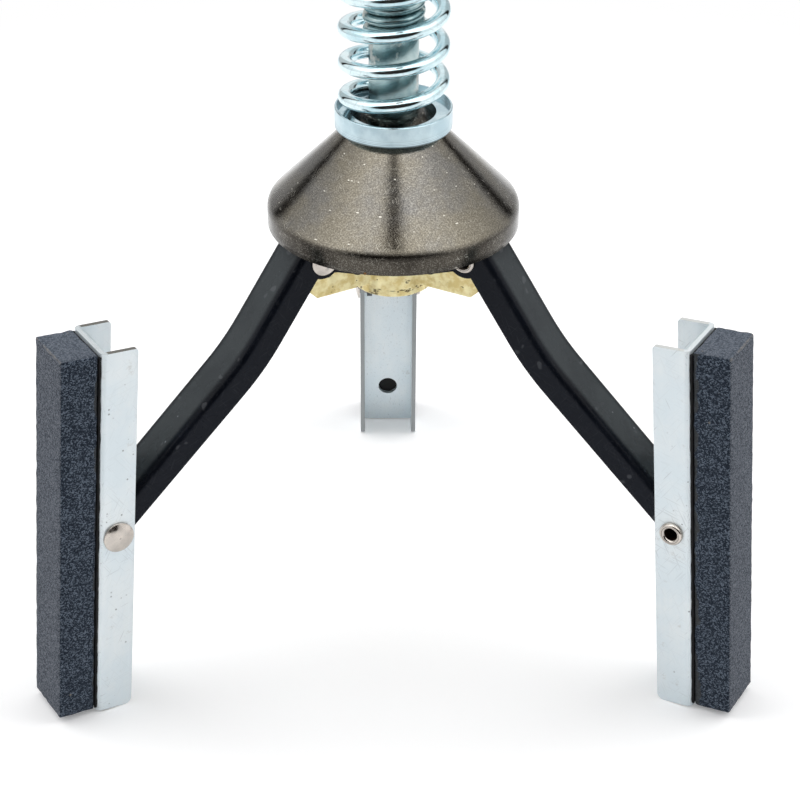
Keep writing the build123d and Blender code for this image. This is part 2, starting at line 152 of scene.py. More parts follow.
class Bench:
    """One mesh on the bench, shaped in edit mode with the usual tools."""

    doubles: float = 1e-7

    def __init__(self, name: str) -> None:
        """Take up the primitive that was just added, and name it.

        Args:
            name: Name of the finished piece.
        """
        self.piece: bpy.types.Object = bpy.context.object
        self.piece.name = name
        self.piece.data.name = name
        bpy.ops.object.transform_apply(location=True, rotation=True, scale=True)

    @staticmethod
    def clear() -> None:
        """Let go of everything, so that the next tool acts on its own piece alone."""
        if bpy.context.object is not None and bpy.context.object.mode != "OBJECT":
            bpy.ops.object.mode_set(mode="OBJECT")
        bpy.ops.object.select_all(action="DESELECT")

    def edit(self, mode: str, action: str = "DESELECT") -> None:
        """Go into edit mode with nothing or everything selected.

        Args:
            mode: VERT, EDGE or FACE.
            action: DESELECT or SELECT.
        """
        bpy.ops.object.mode_set(mode="EDIT")
        bpy.ops.mesh.select_mode(type=mode)
        bpy.ops.mesh.select_all(action=action)

    def cut_edges(self, wanted: Callable[[Vector, Vector], bool], cuts: int) -> None:
        """Cut some edges into equal parts.

        Args:
            wanted: Test that gets both ends of an edge.
            cuts: Number of cuts in each edge.
        """
        bpy.ops.mesh.select_all(action="DESELECT")
        mesh = bmesh.from_edit_mesh(self.piece.data)
        for edge in [edge for edge in mesh.edges if wanted(edge.verts[0].co, edge.verts[1].co)]:
            edge.select_set(True)
        bmesh.update_edit_mesh(self.piece.data)
        bpy.ops.mesh.subdivide(number_cuts=cuts)

    def done(self) -> None:
        """Leave edit mode."""
        bpy.ops.object.mode_set(mode="OBJECT")

    def modify(self, kind: str, **settings: object) -> None:
        """Add a modifier and apply it.

        Args:
            kind: Type of the modifier.
            settings: Values of the modifier.
        """
        modifier = self.piece.modifiers.new(kind.title(), kind)
        for key, value in settings.items():
            setattr(modifier, key, value)
        bpy.ops.object.modifier_apply(modifier=modifier.name)

    def roughen(self, title: str, grain: float, **settings: object) -> None:
        """Push the surface in and out by soft lumps.

        Args:
            title: Name of the lumps' texture.
            grain: Size of the lumps in metres.
            settings: Values of the displacement.
        """
        lumps = bpy.data.textures.new(title, "CLOUDS")
        lumps.noise_scale = grain
        self.modify("DISPLACE", texture=lumps, **settings)

    def smooth(self, angle: float) -> None:
        """Shade the piece smooth up to an angle in degrees."""
        bpy.ops.object.shade_smooth_by_angle(angle=radians(angle))

    def face_outwards(self) -> None:
        """Close the mesh's doubles and turn its faces outwards."""
        self.edit("VERT", "SELECT")
        bpy.ops.mesh.remove_doubles(threshold=self.doubles)
        bpy.ops.mesh.normals_make_consistent(inside=False)
        self.done()


def copy_to(master: bpy.types.Object, name: str, place: Place) -> bpy.types.Object:
    """Copy a piece that was modelled in its own frame to its place, with a mesh of its own.

    Args:
        master: Piece in its own frame.
        name: Name of the copy.
        place: Where the copy goes.

    Returns:
        The copy, with its place in its mesh.
    """
    piece = master.copy()
    piece.data = master.data.copy()
    piece.name = name
    piece.data.name = name
    bpy.context.scene.collection.objects.link(piece)
    piece.data.transform(place.matrix())
    return piece


# Node trees


class Graph:
    """Short ways to add nodes to a tree and to join them."""

    def __init__(self, tree: bpy.types.NodeTree) -> None:
        """Work on one tree."""
        self.tree = tree

    def node(self, kind: str, *feeds: Feed, **settings: object) -> bpy.types.Node:
        """Add a node.

        Args:
            kind: Type of the node.
            feeds: What goes into its first inputs.
            settings: Values of the node's own properties.

        Returns:
            The node.
        """
        made = self.tree.nodes.new(f"ShaderNode{kind}")
        for key, value in settings.items():
            setattr(made, key, value)
        for source, target in zip(feeds, made.inputs):
            self.feed(source, target)
        return made

    def feed(self, source: Feed, target: Socket) -> None:
        """Join a socket to another, or set it to a number or colour."""
        if isinstance(source, bpy.types.NodeSocket):
            self.tree.links.new(source, target)
        elif isinstance(source, tuple) and target.type == "RGBA":
            target.default_value = (*source, 1.0)
        else:
            target.default_value = source

    def fill(self, node: bpy.types.Node, **feeds: Feed) -> Sockets:
        """Feed a node's inputs by their names.

        Args:
            node: Node of the tree.
            feeds: What goes into its inputs, named with underscores for spaces.

        Returns:
            The node's outputs.
        """
        for name, source in feeds.items():
            self.feed(source, node.inputs[name.replace("_", " ")])
        return node.outputs

    def math(self, operation: str, *values: Feed) -> Socket:
        """Work out one number from one or two."""
        return self.node("Math", *values, operation=operation).outputs[0]

    def fold(self, operation: str, *values: Feed) -> Feed:
        """Work out one number from several, two at a time."""
        return reduce(lambda first, second: self.math(operation, first, second), values)

    plus = partialmethod(fold, "ADD")
    minus = partialmethod(fold, "SUBTRACT")
    times = partialmethod(fold, "MULTIPLY")
    most = partialmethod(fold, "MAXIMUM")

    def blend(self, share: Feed, first: Feed, second: Feed) -> Socket:
        """Mix two colours."""
        made = self.node("Mix", data_type="RGBA")
        for source, number in zip((share, first, second), MIX_INPUTS):
            self.feed(source, made.inputs[number])
        return made.outputs[MIX_RESULT]

    def ramp(self, value: Feed, ramp: Ramp) -> Socket:
        """Map a number by a ramp."""
        feeds = (value, ramp.start, ramp.end, *ramp.gives)
        return self.node("MapRange", *feeds, interpolation_type="SMOOTHSTEP").outputs[0]

    def between(self, share: Feed, ends: Range) -> Socket:
        """Give a number between two, by a share from 0 to 1."""
        return self.ramp(share, Ramp(0.0, 1.0, ends))

    def stretch(self, vector: Socket, grain: Grain) -> Socket:
        """Stretch a pattern along the lie of a piece."""
        return self.node("VectorMath", vector, grain.value, operation="MULTIPLY").outputs[0]

    def noise(self, vector: Socket, scale: Feed, detail: float, rough: float) -> Socket:
        """Give soft noise between about 0.2 and 0.8."""
        made = self.node("TexNoise")
        return self.fill(made, Vector=vector, Scale=scale, Detail=detail, Roughness=rough)["Fac"]

    def cells(self, vector: Socket, scale: Feed) -> Sockets:
        """Give the outputs of a cell pattern: its distance and its colour per cell."""
        return self.fill(self.node("TexVoronoi"), Vector=vector, Scale=scale)

    def parts(self, vector: Socket) -> tuple[Socket, Socket, Socket]:
        """Split a vector."""
        return tuple(self.node("SeparateXYZ", vector).outputs)

    def red(self, colour: Socket) -> Socket:
        """Give the red of a colour, which is a random number where the colour is a cell's."""
        return self.node("SeparateColor", colour).outputs[0]

    def reach(self, first: Socket, second: Socket) -> Socket:
        """Give the distance from the middle of two coordinates."""
        squares = (self.times(value, value) for value in (first, second))
        return self.math("SQRT", self.plus(*squares))

    def bearing(self, east: Socket, north: Socket) -> Socket:
        """Give the bearing from the front of two coordinates, in radians."""
        return self.math("ARCTAN2", east, self.times(north, -1.0))

    def light(self, kind: str, strength: Feed = 1.0, colour: Feed = WHITE) -> Socket:
        """Add a shader that shines.

        Args:
            kind: Emission or Background.
            strength: Its strength.
            colour: Its colour.

        Returns:
            The shader.
        """
        return self.node(kind, colour, strength).outputs[0]

    def mix(self, share: Feed, first: Socket, second: Socket) -> Socket:
        """Mix two shaders."""
        return self.node("MixShader", share, first, second).outputs[0]


class Effect(ABC):
    """A shared node group, made once and placed in each material with its own values."""

    title: str
    takes: dict[str, float | Colour | None]
    gives: dict[str, str]

    def __init__(self) -> None:
        """Make the group, its sockets and its nodes."""
        self.tree = bpy.data.node_groups.new(self.title, "ShaderNodeTree")
        for name, value in self.takes.items():
            kind = {float: "Float", tuple: "Color"}.get(type(value), "Vector")
            socket = self._socket(name, "INPUT", kind)
            if value is not None:
                socket.default_value = (*value, 1.0) if isinstance(value, tuple) else value
        for name, kind in self.gives.items():
            self._socket(name, "OUTPUT", kind)
        graph = Graph(self.tree)
        entry = self.tree.nodes.new("NodeGroupInput")
        leave = self.tree.nodes.new("NodeGroupOutput")
        graph.fill(leave, **self.wire(graph, entry.outputs))

    def _socket(self, name: str, side: str, kind: str) -> bpy.types.NodeTreeInterfaceSocket:
        """Add a socket to the group's outside."""
        return self.tree.interface.new_socket(name=name, in_out=side, socket_type=f"NodeSocket{kind}")

    @abstractmethod
    def wire(self, graph: Graph, given: Sockets) -> dict[str, Socket]:
        """Join the group's nodes.

        Args:
            graph: Tree of the group.
            given: Sockets that the group takes.

        Returns:
            The sockets that the group gives, by name.
        """

    def place(self, graph: Graph, **values: Feed) -> Sockets:
        """Place the group in a material.

        Args:
            graph: Tree of the material.
            values: Values or sockets, by the name of the group's input.

        Returns:
            The group's outputs.
        """
        return graph.fill(graph.node("Group", node_tree=self.tree), **values)


class ToneDrift(Effect):
    """Slow change of tone over a piece, between two colours."""

    title = "Tone drift"
    takes = {"Vector": None, "Scale": 60.0, "Low": (0.5, 0.5, 0.5), "High": (0.6, 0.6, 0.6)}
    gives = {"Color": "Color", "Share": "Float"}
    crossing = Ramp(0.35, 0.65)

    def wire(self, graph: Graph, given: Sockets) -> dict[str, Socket]:
        """Mix the colours by soft noise."""
        noise = graph.noise(given["Vector"], given["Scale"], detail=4.0, rough=0.6)
        share = graph.ramp(noise, self.crossing)
        return {"Color": graph.blend(share, given["Low"], given["High"]), "Share": share}


class Specks(Effect):
    """Small scattered dots, such as pits, dust or flecks."""

    title = "Specks"
    takes = {"Vector": None, "Scale": 400.0, "Size": 0.2, "Share": 0.1}
    gives = {"Mask": "Float"}
    full = 0.55

    def wire(self, graph: Graph, given: Sockets) -> dict[str, Socket]:
        """Keep the middle of a few cells."""
        cells = graph.cells(given["Vector"], given["Scale"])
        inner = graph.times(given["Size"], self.full)
        dot = graph.ramp(cells["Distance"], Ramp(inner, given["Size"], DOWN))
        chosen = graph.math("LESS_THAN", graph.red(cells["Color"]), given["Share"])
        return {"Mask": graph.times(dot, chosen)}


class Hairlines(Effect):
    """Short straight scratches in the plane of x and z, in three directions."""

    title = "Hairlines"
    takes = {"Vector": None, "Scale": 2600.0, "Share": 0.5}
    gives = {"Mask": "Float"}
    angles = (-38.0, 24.0, 71.0)
    peak = 0.84
    drop = 0.2
    soft = 0.05

    def wire(self, graph: Graph, given: Sockets) -> dict[str, Socket]:
        """Cut the peaks off noise that is drawn out along each direction."""
        limit = graph.minus(self.peak, graph.times(given["Share"], self.drop))
        rise = Ramp(limit, graph.plus(limit, self.soft))
        masks = []
        for angle in self.angles:
            rotate = graph.node("VectorRotate", rotation_type="Y_AXIS")
            turned = graph.fill(rotate, Vector=given["Vector"], Angle=radians(angle))[0]
            drawn = graph.stretch(turned, Grain.SCRATCH)
            masks.append(graph.ramp(graph.noise(drawn, given["Scale"], detail=0.0, rough=0.0), rise))
        return {"Mask": graph.most(*masks)}


class EdgeWear(Effect):
    """Rubbed edges, where the rounded normal leaves the flat one."""

    title = "Edge wear"
    takes = {"Rounded": None, "Flat": None, "Vector": None, "Reach": 0.12}
    gives = {"Mask": "Float"}
    least = 0.01
    scale = 900.0
    ragged = Ramp(0.3, 0.65, (0.35, 1.0))

    def wire(self, graph: Graph, given: Sockets) -> dict[str, Socket]:
        """Compare both normals and break the result up."""
        dot = graph.node("VectorMath", given["Rounded"], given["Flat"], operation="DOT_PRODUCT")
        edge = graph.ramp(graph.minus(1.0, dot.outputs["Value"]), Ramp(self.least, given["Reach"]))
        noise = graph.noise(given["Vector"], self.scale, detail=3.0, rough=0.55)
        return {"Mask": graph.times(edge, graph.ramp(noise, self.ragged))}


class TurningMarks(Effect):
    """Fine rings left by a lathe, round the tool's axis."""

    title = "Turning marks"
    takes = {"Vector": None, "Scale": 2500.0}
    gives = {"Height": "Float"}

    def wire(self, graph: Graph, given: Sockets) -> dict[str, Socket]:
        """Give noise that depends only on the distance from the axis and on the height."""
        east, north, up = graph.parts(given["Vector"])
        ring = graph.node("CombineXYZ", graph.reach(east, north), 0.0, up).outputs[0]
        return {"Height": graph.noise(ring, given["Scale"], detail=2.0, rough=0.5)}


class Unrolled(Effect):
    """Flat coordinates of a turned surface: the way round it along x, the height along z."""

    title = "Unrolled"
    takes = {"Vector": None, "Radius": 0.02}
    gives = {"Vector": "Vector"}

    def wire(self, graph: Graph, given: Sockets) -> dict[str, Socket]:
        """Roll the surface off, with the seam at the back."""
        east, north, up = graph.parts(given["Vector"])
        way = graph.times(graph.bearing(east, north), given["Radius"])
        return {"Vector": graph.node("CombineXYZ", way, 0.0, up).outputs[0]}


class Kit:
    """The shared effects, made once."""

    def __init__(self) -> None:
        """Make every group."""
        self.drift = ToneDrift()
        self.specks = Specks()
        self.hairlines = Hairlines()
        self.edges = EdgeWear()
        self.turning = TurningMarks()
        self.unrolled = Unrolled()


# Finishes


@dataclass(frozen=True)
class Cloud:
    """Soft noise: its scale and detail, the range cut out of it and what that range gives."""

    scale: float
    detail: float = 3.0
    rough: float = 0.55
    cut: Range = (0.3, 0.7)
    gives: Range = UP


@dataclass(frozen=True)
class Dots:
    """Scattered specks: their scale and size, the share of cells with one, and their weight."""

    scale: float
    size: float
    share: float
    weight: float = 1.0


@dataclass(frozen=True)
class Lines:
    """Fine scratches: their scale, how many there are, and their weight."""

    scale: float
    share: float
    weight: float = 1.0


class Surface:
    """A material under construction: its coordinates, its normals and its shader."""

    def __init__(self, kit: Kit, name: str, place: Place, rounding: float) -> None:
        """Start a material.

        Args:
            kit: Shared effects.
            name: Name of the material.
            place: Place of the piece, which the pattern follows.
            rounding: Radius of the softened edges, in metres.
        """
        self.kit = kit
        self.material = bpy.data.materials.new(name)
        self.material.use_nodes = True
        self.graph = Graph(self.material.node_tree)
        self.shader = self.material.node_tree.nodes["Principled BSDF"]
        where = self.graph.node("TexCoord").outputs
        self.vector = self._from_place(where["Object"], place.origin, place.angles())
        looks = self._from_place(where["Normal"], Place.origin, place.angles())
        self.parts = self.graph.parts(self.vector)
        self.looks = self.graph.parts(looks)
        self.rounded = self.graph.fill(self.graph.node("Bevel", samples=4), Radius=rounding)[0]
        self.flat = self.graph.node("NewGeometry").outputs["Normal"]

    def _from_place(self, vector: Socket, origin: Point, angles: Euler) -> Socket:
        """Turn a vector of the tool's frame into the piece's own frame."""
        local = self.graph.node("Mapping", vector_type="TEXTURE")
        return self.graph.fill(local, Vector=vector, Location=origin, Rotation=angles)[0]

    def facing(self, axis: int, cut: Ramp, way: float = 0.0) -> Socket:
        """Mark the faces that look along an axis of the piece.

        Args:
            axis: 0, 1 or 2 for x, y or z.
            cut: Shares of the axis in the normal at which the mark starts and is full.
            way: 1 or -1 for one way only, 0 for both.

        Returns:
            The mask.
        """
        look = self.looks[axis]
        along = self.graph.times(look, way) if way else self.graph.math("ABSOLUTE", look)
        return self.graph.ramp(along, cut)

    def height(self, ramp: Ramp, level: float) -> Socket:
        """Map the height over a level by a ramp."""
        return self.graph.ramp(self.parts[2], ramp.past(level))

    def drift(self, scale: float, low: Colour, high: Colour) -> tuple[Socket, Socket]:
        """Give a colour that drifts between two, and the share of the second."""
        return tuple(self.kit.drift.place(self.graph, Vector=self.vector, Scale=scale, Low=low, High=high))

    def noise(self, cloud: Cloud, vector: Socket | None = None) -> Socket:
        """Give plain noise."""
        return self.graph.noise(vector or self.vector, cloud.scale, cloud.detail, cloud.rough)

    def cloud(self, cloud: Cloud, vector: Socket | None = None) -> Socket:
        """Give noise with its range mapped."""
        return self.graph.ramp(self.noise(cloud, vector), Ramp(*cloud.cut, cloud.gives))

    def dots(self, dots: Dots, vector: Socket | None = None) -> Socket:
        """Give a mask of specks."""
        where = vector or self.vector
        mask = self.kit.specks.place(
            self.graph, Vector=where, Scale=dots.scale, Size=dots.size, Share=dots.share
        )
        return self.graph.times(mask["Mask"], dots.weight)

    def lines(self, lines: Lines, vector: Socket | None = None) -> Socket:
        """Give a mask of hairlines."""
        where = vector or self.vector
        mask = self.kit.hairlines.place(self.graph, Vector=where, Scale=lines.scale, Share=lines.share)
        return self.graph.times(mask["Mask"], lines.weight)

    def rings(self, scale: float) -> Socket:
        """Give the height of turning marks."""
        return self.kit.turning.place(self.graph, Vector=self.vector, Scale=scale)["Height"]

    def unrolled(self) -> Socket:
        """Give the flat coordinates of a turned piece."""
        return self.kit.unrolled.place(self.graph, Vector=self.vector)["Vector"]

    def worn(self, weight: float, reach: float = 0.12) -> Socket:
        """Give the mask of rubbed edges."""
        mask = self.kit.edges.place(
            self.graph, Rounded=self.rounded, Flat=self.flat, Vector=self.vector, Reach=reach
        )
        return self.graph.times(mask["Mask"], weight)

    def set(self, **values: Feed) -> None:
        """Feed the shader's sockets, named with underscores for spaces."""
        self.graph.fill(self.shader, **values)

    def bump(self, height: Socket, depth: float, strength: float = 1.0) -> None:
        """Give the surface a relief on top of its rounded edges.

        Args:
            height: Pattern of the relief.
            depth: Height of the relief in metres.
            strength: How much of the relief shows.
        """
        made = self.graph.node("Bump")
        self.graph.fill(made, Strength=strength, Distance=depth, Height=height, Normal=self.rounded)
        self.set(Normal=made.outputs[0])


@dataclass(frozen=True)
class Finish(ABC):
    """A finish of the tool. Subclasses say how it looks.

    Lengths are in metres. A field named after a mark holds its pattern, and depth is the relief's.
    """

    title: str
    rounding: float = 0.25 * MM

    @abstractmethod
    def paint(self, surface: Surface) -> None:
        """Wire the finish.

        Args:
            surface: Material under construction.
        """

    def make(self, kit: Kit, name: str, place: Place) -> bpy.types.Material:
        """Make the material of one piece.

        Args:
            kit: Shared effects.
            name: Name of the piece.
            place: Place of the piece, which the pattern follows.

        Returns:
            The material.
        """
        surface = Surface(kit, f"{self.title} {name}", place, self.rounding)
        self.paint(surface)
        return surface.material


@dataclass(frozen=True)
class WireZinc(Finish):
    """Bright zinc plate with a blue cast, on the wire of the spring."""

    title: str = "wire zinc"
    light: Colour = (0.74, 0.88, 0.91)
    shade: Colour = (0.52, 0.72, 0.78)
    patches: float = 140.0
    nick: Colour = (0.30, 0.36, 0.38)
    nicks: Lines = Lines(5200.0, 0.68, 0.45)
    gloss: Cloud = Cloud(420.0, gives=(0.07, 0.17))
    skin: Cloud = Cloud(700.0)
    depth: float = 0.007 * MM

    def paint(self, surface: Surface) -> None:
        """Wire tinted metal with drawing lines, hazy patches and a few dull nicks."""
        tone, _ = surface.drift(self.patches, self.shade, self.light)
        nicks = surface.lines(self.nicks, surface.unrolled())
        surface.set(
            Base_Color=surface.graph.blend(nicks, tone, self.nick),
            Metallic=1.0,
            Roughness=surface.cloud(self.gloss),
        )
        surface.bump(surface.noise(self.skin), self.depth)


@dataclass(frozen=True)
class SeatZinc(Finish):
    """Satin zinc of the spring's two seats, with lathe lines low on the rim."""

    title: str = "seat zinc"
    light: Colour = (0.60, 0.74, 0.79)
    shade: Colour = (0.46, 0.60, 0.66)
    patches: float = 190.0
    foot: float = 0.0
    low: Ramp = Ramp(1.2 * MM, 2.6 * MM, DOWN)
    lathe: float = 2600.0
    line: Colour = (0.20, 0.27, 0.31)
    lines: Ramp = Ramp(0.46, 0.58, (0.0, 0.75))
    wear: float = 0.4
    metal: float = 0.9
    gloss: Ramp = Ramp(0.3, 0.9, (0.3, 0.12))
    plain_relief: float = 0.2
    depth: float = 0.008 * MM

    def paint(self, surface: Surface) -> None:
        """Wire tinted metal that is smoother on top, with lines round the rim."""
        graph = surface.graph
        tone, share = surface.drift(self.patches, self.shade, self.light)
        rings = surface.rings(self.lathe)
        low = surface.height(self.low, self.foot)
        marked = graph.blend(graph.times(graph.ramp(rings, self.lines), low), tone, self.line)
        surface.set(
            Base_Color=graph.blend(surface.worn(self.wear), marked, self.light),
            Metallic=self.metal,
            Roughness=graph.ramp(surface.looks[2], self.gloss),
        )
        relief = graph.times(rings, graph.plus(low, self.plain_relief))
        surface.bump(graph.plus(relief, share), self.depth)


@dataclass(frozen=True)
class DullZinc(Finish):
    """Satin zinc with pale rough patches, on the spindle, the coil and the drive shank."""

    title: str = "dull zinc"
    steel: Colour = (0.45, 0.56, 0.56)
    deep: Colour = (0.20, 0.31, 0.33)
    patches: float = 150.0
    bloom: Colour = (0.72, 0.74, 0.71)
    spread: Cloud = Cloud(105.0, 4.0, 0.6)
    ragged: Cloud = Cloud(1600.0, 3.0, 0.7)
    ragged_weight: float = 0.16
    bloomed: Ramp = Ramp(0.61, 0.67)
    metal: Range = (1.0, 0.45)
    gloss: Range = (0.27, 0.55)
    skin: Cloud = Cloud(1500.0, 4.0)
    depth: float = 0.02 * MM

    def paint(self, surface: Surface) -> None:
        """Wire grey-green metal with a pale bloom that is rougher than the rest."""
        graph = surface.graph
        tone, _ = surface.drift(self.patches, self.deep, self.steel)
        ragged = graph.times(surface.noise(self.ragged), self.ragged_weight)
        bloom = graph.ramp(graph.plus(surface.noise(self.spread), ragged), self.bloomed)
        surface.set(
            Base_Color=graph.blend(bloom, tone, self.bloom),
            Metallic=graph.between(bloom, self.metal),
            Roughness=graph.between(bloom, self.gloss),
        )
        surface.bump(graph.plus(surface.noise(self.skin), bloom), self.depth)


@dataclass(frozen=True)
class DarkNickel(Finish):
    """Dark nickel plate on the pressure cone, finely frosted, with bright scratches."""

    title: str = "dark nickel"
    rounding: float = 2.4 * MM
    warm: Colour = (0.172, 0.155, 0.122)
    cool: Colour = (0.150, 0.145, 0.137)
    patches: float = 60.0
    # Lip colours: partly the lip's own darker finish, partly a painted dark reflection of the room in front
    # of it.
    lip: Colour = (0.080, 0.072, 0.060)
    lip_deep: Colour = (0.030, 0.026, 0.022)
    lip_patches: float = 75.0
    shoulder: float = 0.0
    below: Ramp = Ramp(-0.8 * MM, 0.6 * MM, DOWN)
    # Darker colour on the cone's top round the spindle, inside the seat ring.
    spindle_dark: Colour = (0.012, 0.011, 0.010)
    near_spindle: Ramp = Ramp(8.6 * MM, 11.2 * MM, (0.88, 0.0))
    pepper: Cloud = Cloud(3200.0, 1.0)
    pit: Colour = (0.045, 0.040, 0.034)
    pitted: Ramp = Ramp(0.5, 0.30, (0.0, 0.45))
    bright: Colour = (0.80, 0.77, 0.68)
    salted: Ramp = Ramp(0.5, 0.70, (0.0, 0.13))
    rust: Colour = (0.16, 0.075, 0.02)
    spots: Dots = Dots(420.0, 0.2, 0.06)
    scratches: Lines = Lines(9000.0, 0.55)
    rubbed: Cloud = Cloud(110.0, cut=(0.46, 0.66), gives=(0.0, 0.42))
    nicks: tuple[Dots, ...] = (Dots(800.0, 0.13, 0.08, 0.75), Dots(1300.0, 0.20, 0.10, 0.5625))
    lathe: float = 2100.0
    lathed: Ramp = Ramp(0.58, 0.68)
    nose: float = 0.0
    near_nose: Ramp = Ramp(-11.0 * MM, -4.0 * MM)
    broken: Cloud = Cloud(420.0, 2.0, cut=(0.5, 0.62), gives=(0.0, 0.45))
    frost: Cloud = Cloud(2400.0, 3.0, 0.75)
    gloss: Ramp = Ramp(0.35, 0.65, (0.06, 0.14))
    sunk: float = 1.5
    depth: float = 0.024 * MM

    def paint(self, surface: Surface) -> None:
        """Wire dark metal with frost, scratches, bright nicks and a few brown specks."""
        graph = surface.graph
        east, north, _ = surface.parts
        tone, _ = surface.drift(self.patches, self.cool, self.warm)
        # the lip's darker colour, partly a painted dark reflection
        rim, _ = surface.drift(self.lip_patches, self.lip_deep, self.lip)
        below = surface.height(self.below, self.shoulder)
        # darker round the spindle, above the shoulder only
        near_spindle = graph.ramp(graph.reach(east, north), self.near_spindle)
        near_spindle = graph.times(near_spindle, graph.minus(1.0, below))
        plate = graph.blend(near_spindle, graph.blend(below, tone, rim), self.spindle_dark)
        pepper = surface.noise(self.pepper)
        plate = graph.blend(graph.ramp(pepper, self.pitted), plate, self.pit)
        plate = graph.blend(graph.ramp(pepper, self.salted), plate, self.bright)
        plate = graph.blend(graph.times(surface.dots(self.spots), below), plate, self.rust)
        flat = surface.unrolled()
        flecks = graph.stretch(flat, Grain.FLECK)
        marks = graph.most(
            graph.times(surface.lines(self.scratches, flat), surface.cloud(self.rubbed)),
            *(surface.dots(size, flecks) for size in self.nicks),
            graph.times(
                graph.ramp(surface.rings(self.lathe), self.lathed),
                surface.height(self.near_nose, self.nose),
                surface.cloud(self.broken, flat),
            ),
        )
        frost = surface.noise(self.frost)
        surface.set(
            Base_Color=graph.blend(marks, plate, self.bright),
            Metallic=1.0,
            Roughness=graph.ramp(frost, self.gloss),
        )
        surface.bump(graph.minus(frost, graph.times(marks, self.sunk)), self.depth)


@dataclass(frozen=True)
class GoldCasting(Finish):
    """Pale gold passivated zinc casting of the hub, with pits and brown flow marks."""

    title: str = "gold casting"
    rounding: float = 0.5 * MM
    pale: Colour = (0.94, 0.85, 0.50)
    straw: Colour = (0.72, 0.58, 0.25)
    patches: float = 420.0
    mark: Colour = (0.055, 0.032, 0.010)
    mark_weight: float = 0.85
    pits: Dots = Dots(1000.0, 0.27, 0.09)
    foot: float = 0.0
    low: Ramp = Ramp(1.0 * MM, 5.0 * MM, (0.11, 0.0))
    flow: Cloud = Cloud(700.0, 4.0, 0.65)
    streaked: Ramp = Ramp(0.66, 0.70)
    metal: float = 0.7
    gloss: Cloud = Cloud(500.0, gives=(0.3, 0.5))
    skin: Cloud = Cloud(620.0, 5.0, 0.6)
    sunk: float = 0.6
    depth: float = 0.10 * MM

    def paint(self, surface: Surface) -> None:
        """Wire cast metal with a lumpy skin, dark pits and brown flow marks that grow denser towards its
        foot.
        """
        graph = surface.graph
        tone, _ = surface.drift(self.patches, self.straw, self.pale)
        flow = surface.noise(self.flow, graph.stretch(surface.vector, Grain.LYING))
        flow = graph.plus(flow, surface.height(self.low, self.foot))
        marks = graph.most(surface.dots(self.pits), graph.ramp(flow, self.streaked))
        surface.set(
            Base_Color=graph.blend(graph.times(marks, self.mark_weight), tone, self.mark),
            Metallic=self.metal,
            Roughness=surface.cloud(self.gloss),
        )
        surface.bump(graph.minus(surface.noise(self.skin), graph.times(marks, self.sunk)), self.depth)


@dataclass(frozen=True)
class BlackEnamel(Finish):
    """Thin black coat of the arms, with fine rubs; a painted sheen lightens the web where it faces up and
    out, and the flanges' faces are painted a little lighter.
    """

    title: str = "black enamel"
    rounding: float = 0.3 * MM
    black: Colour = (0.0025, 0.0034, 0.0060)
    slate: Colour = (0.0058, 0.0075, 0.0120)
    patches: float = 45.0
    # Painted light: the flanges' faces get a lighter copy of the black.
    side: Colour = (0.0078, 0.0098, 0.0152)
    side_cut: Ramp = Ramp(0.9, 0.99)
    bend: float = 6.0 * MM
    # Painted sheen: a lighter colour on the web where it faces up and out, for the light it catches.
    painted_sheen: Colour = (0.046, 0.053, 0.057)
    lean: float = 45.0
    upward: Ramp = Ramp(0.86, 0.97)
    cloudy: Cloud = Cloud(85.0, cut=(0.25, 0.75), gives=(0.8, 1.15))
    web: Ramp = Ramp(3.1 * MM, 5.1 * MM, (1.0, 0.03))
    dust: Colour = (0.24, 0.25, 0.27)
    specks: Dots = Dots(420.0, 0.13, 0.03, 0.7)
    rubs: Lines = Lines(4000.0, 0.62, 0.035)
    smudges: Cloud = Cloud(260.0, 1.0, cut=(0.69, 0.74), gives=(0.0, 0.17))
    wear: float = 0.05
    wear_reach: float = 0.2
    sheen: float = 0.09
    gloss: Cloud = Cloud(240.0, 4.0, gives=(0.2, 0.34))
    skin: Cloud = Cloud(1300.0)
    depth: float = 0.008 * MM

    def paint(self, surface: Surface) -> None:
        """Wire a black coat with an orange-peel skin."""
        graph = surface.graph
        tone, _ = surface.drift(self.patches, self.black, self.slate)
        out, _, up = surface.looks
        lean = radians(self.lean)
        upward = graph.plus(graph.times(out, cos(lean)), graph.times(up, sin(lean)))
        across = graph.math("ABSOLUTE", surface.parts[1])
        # painted sheen on the web where it faces up and out
        painted_sheen = graph.times(
            graph.ramp(upward, self.upward), surface.cloud(self.cloudy), graph.ramp(across, self.web)
        )
        # painted light: the flanges' faces a little lighter than the black
        past_bend = graph.math("GREATER_THAN", across, self.bend)
        side = graph.times(surface.facing(1, self.side_cut), past_bend)
        coat = graph.blend(painted_sheen, graph.blend(side, tone, self.side), self.painted_sheen)
        pale = graph.most(
            surface.dots(self.specks),
            surface.lines(self.rubs),
            surface.cloud(self.smudges),
            surface.worn(self.wear, self.wear_reach),
        )
        surface.set(
            Base_Color=graph.blend(pale, coat, self.dust),
            Specular_IOR_Level=self.sheen,
            Roughness=surface.cloud(self.gloss),
        )
        surface.bump(surface.noise(self.skin), self.depth)


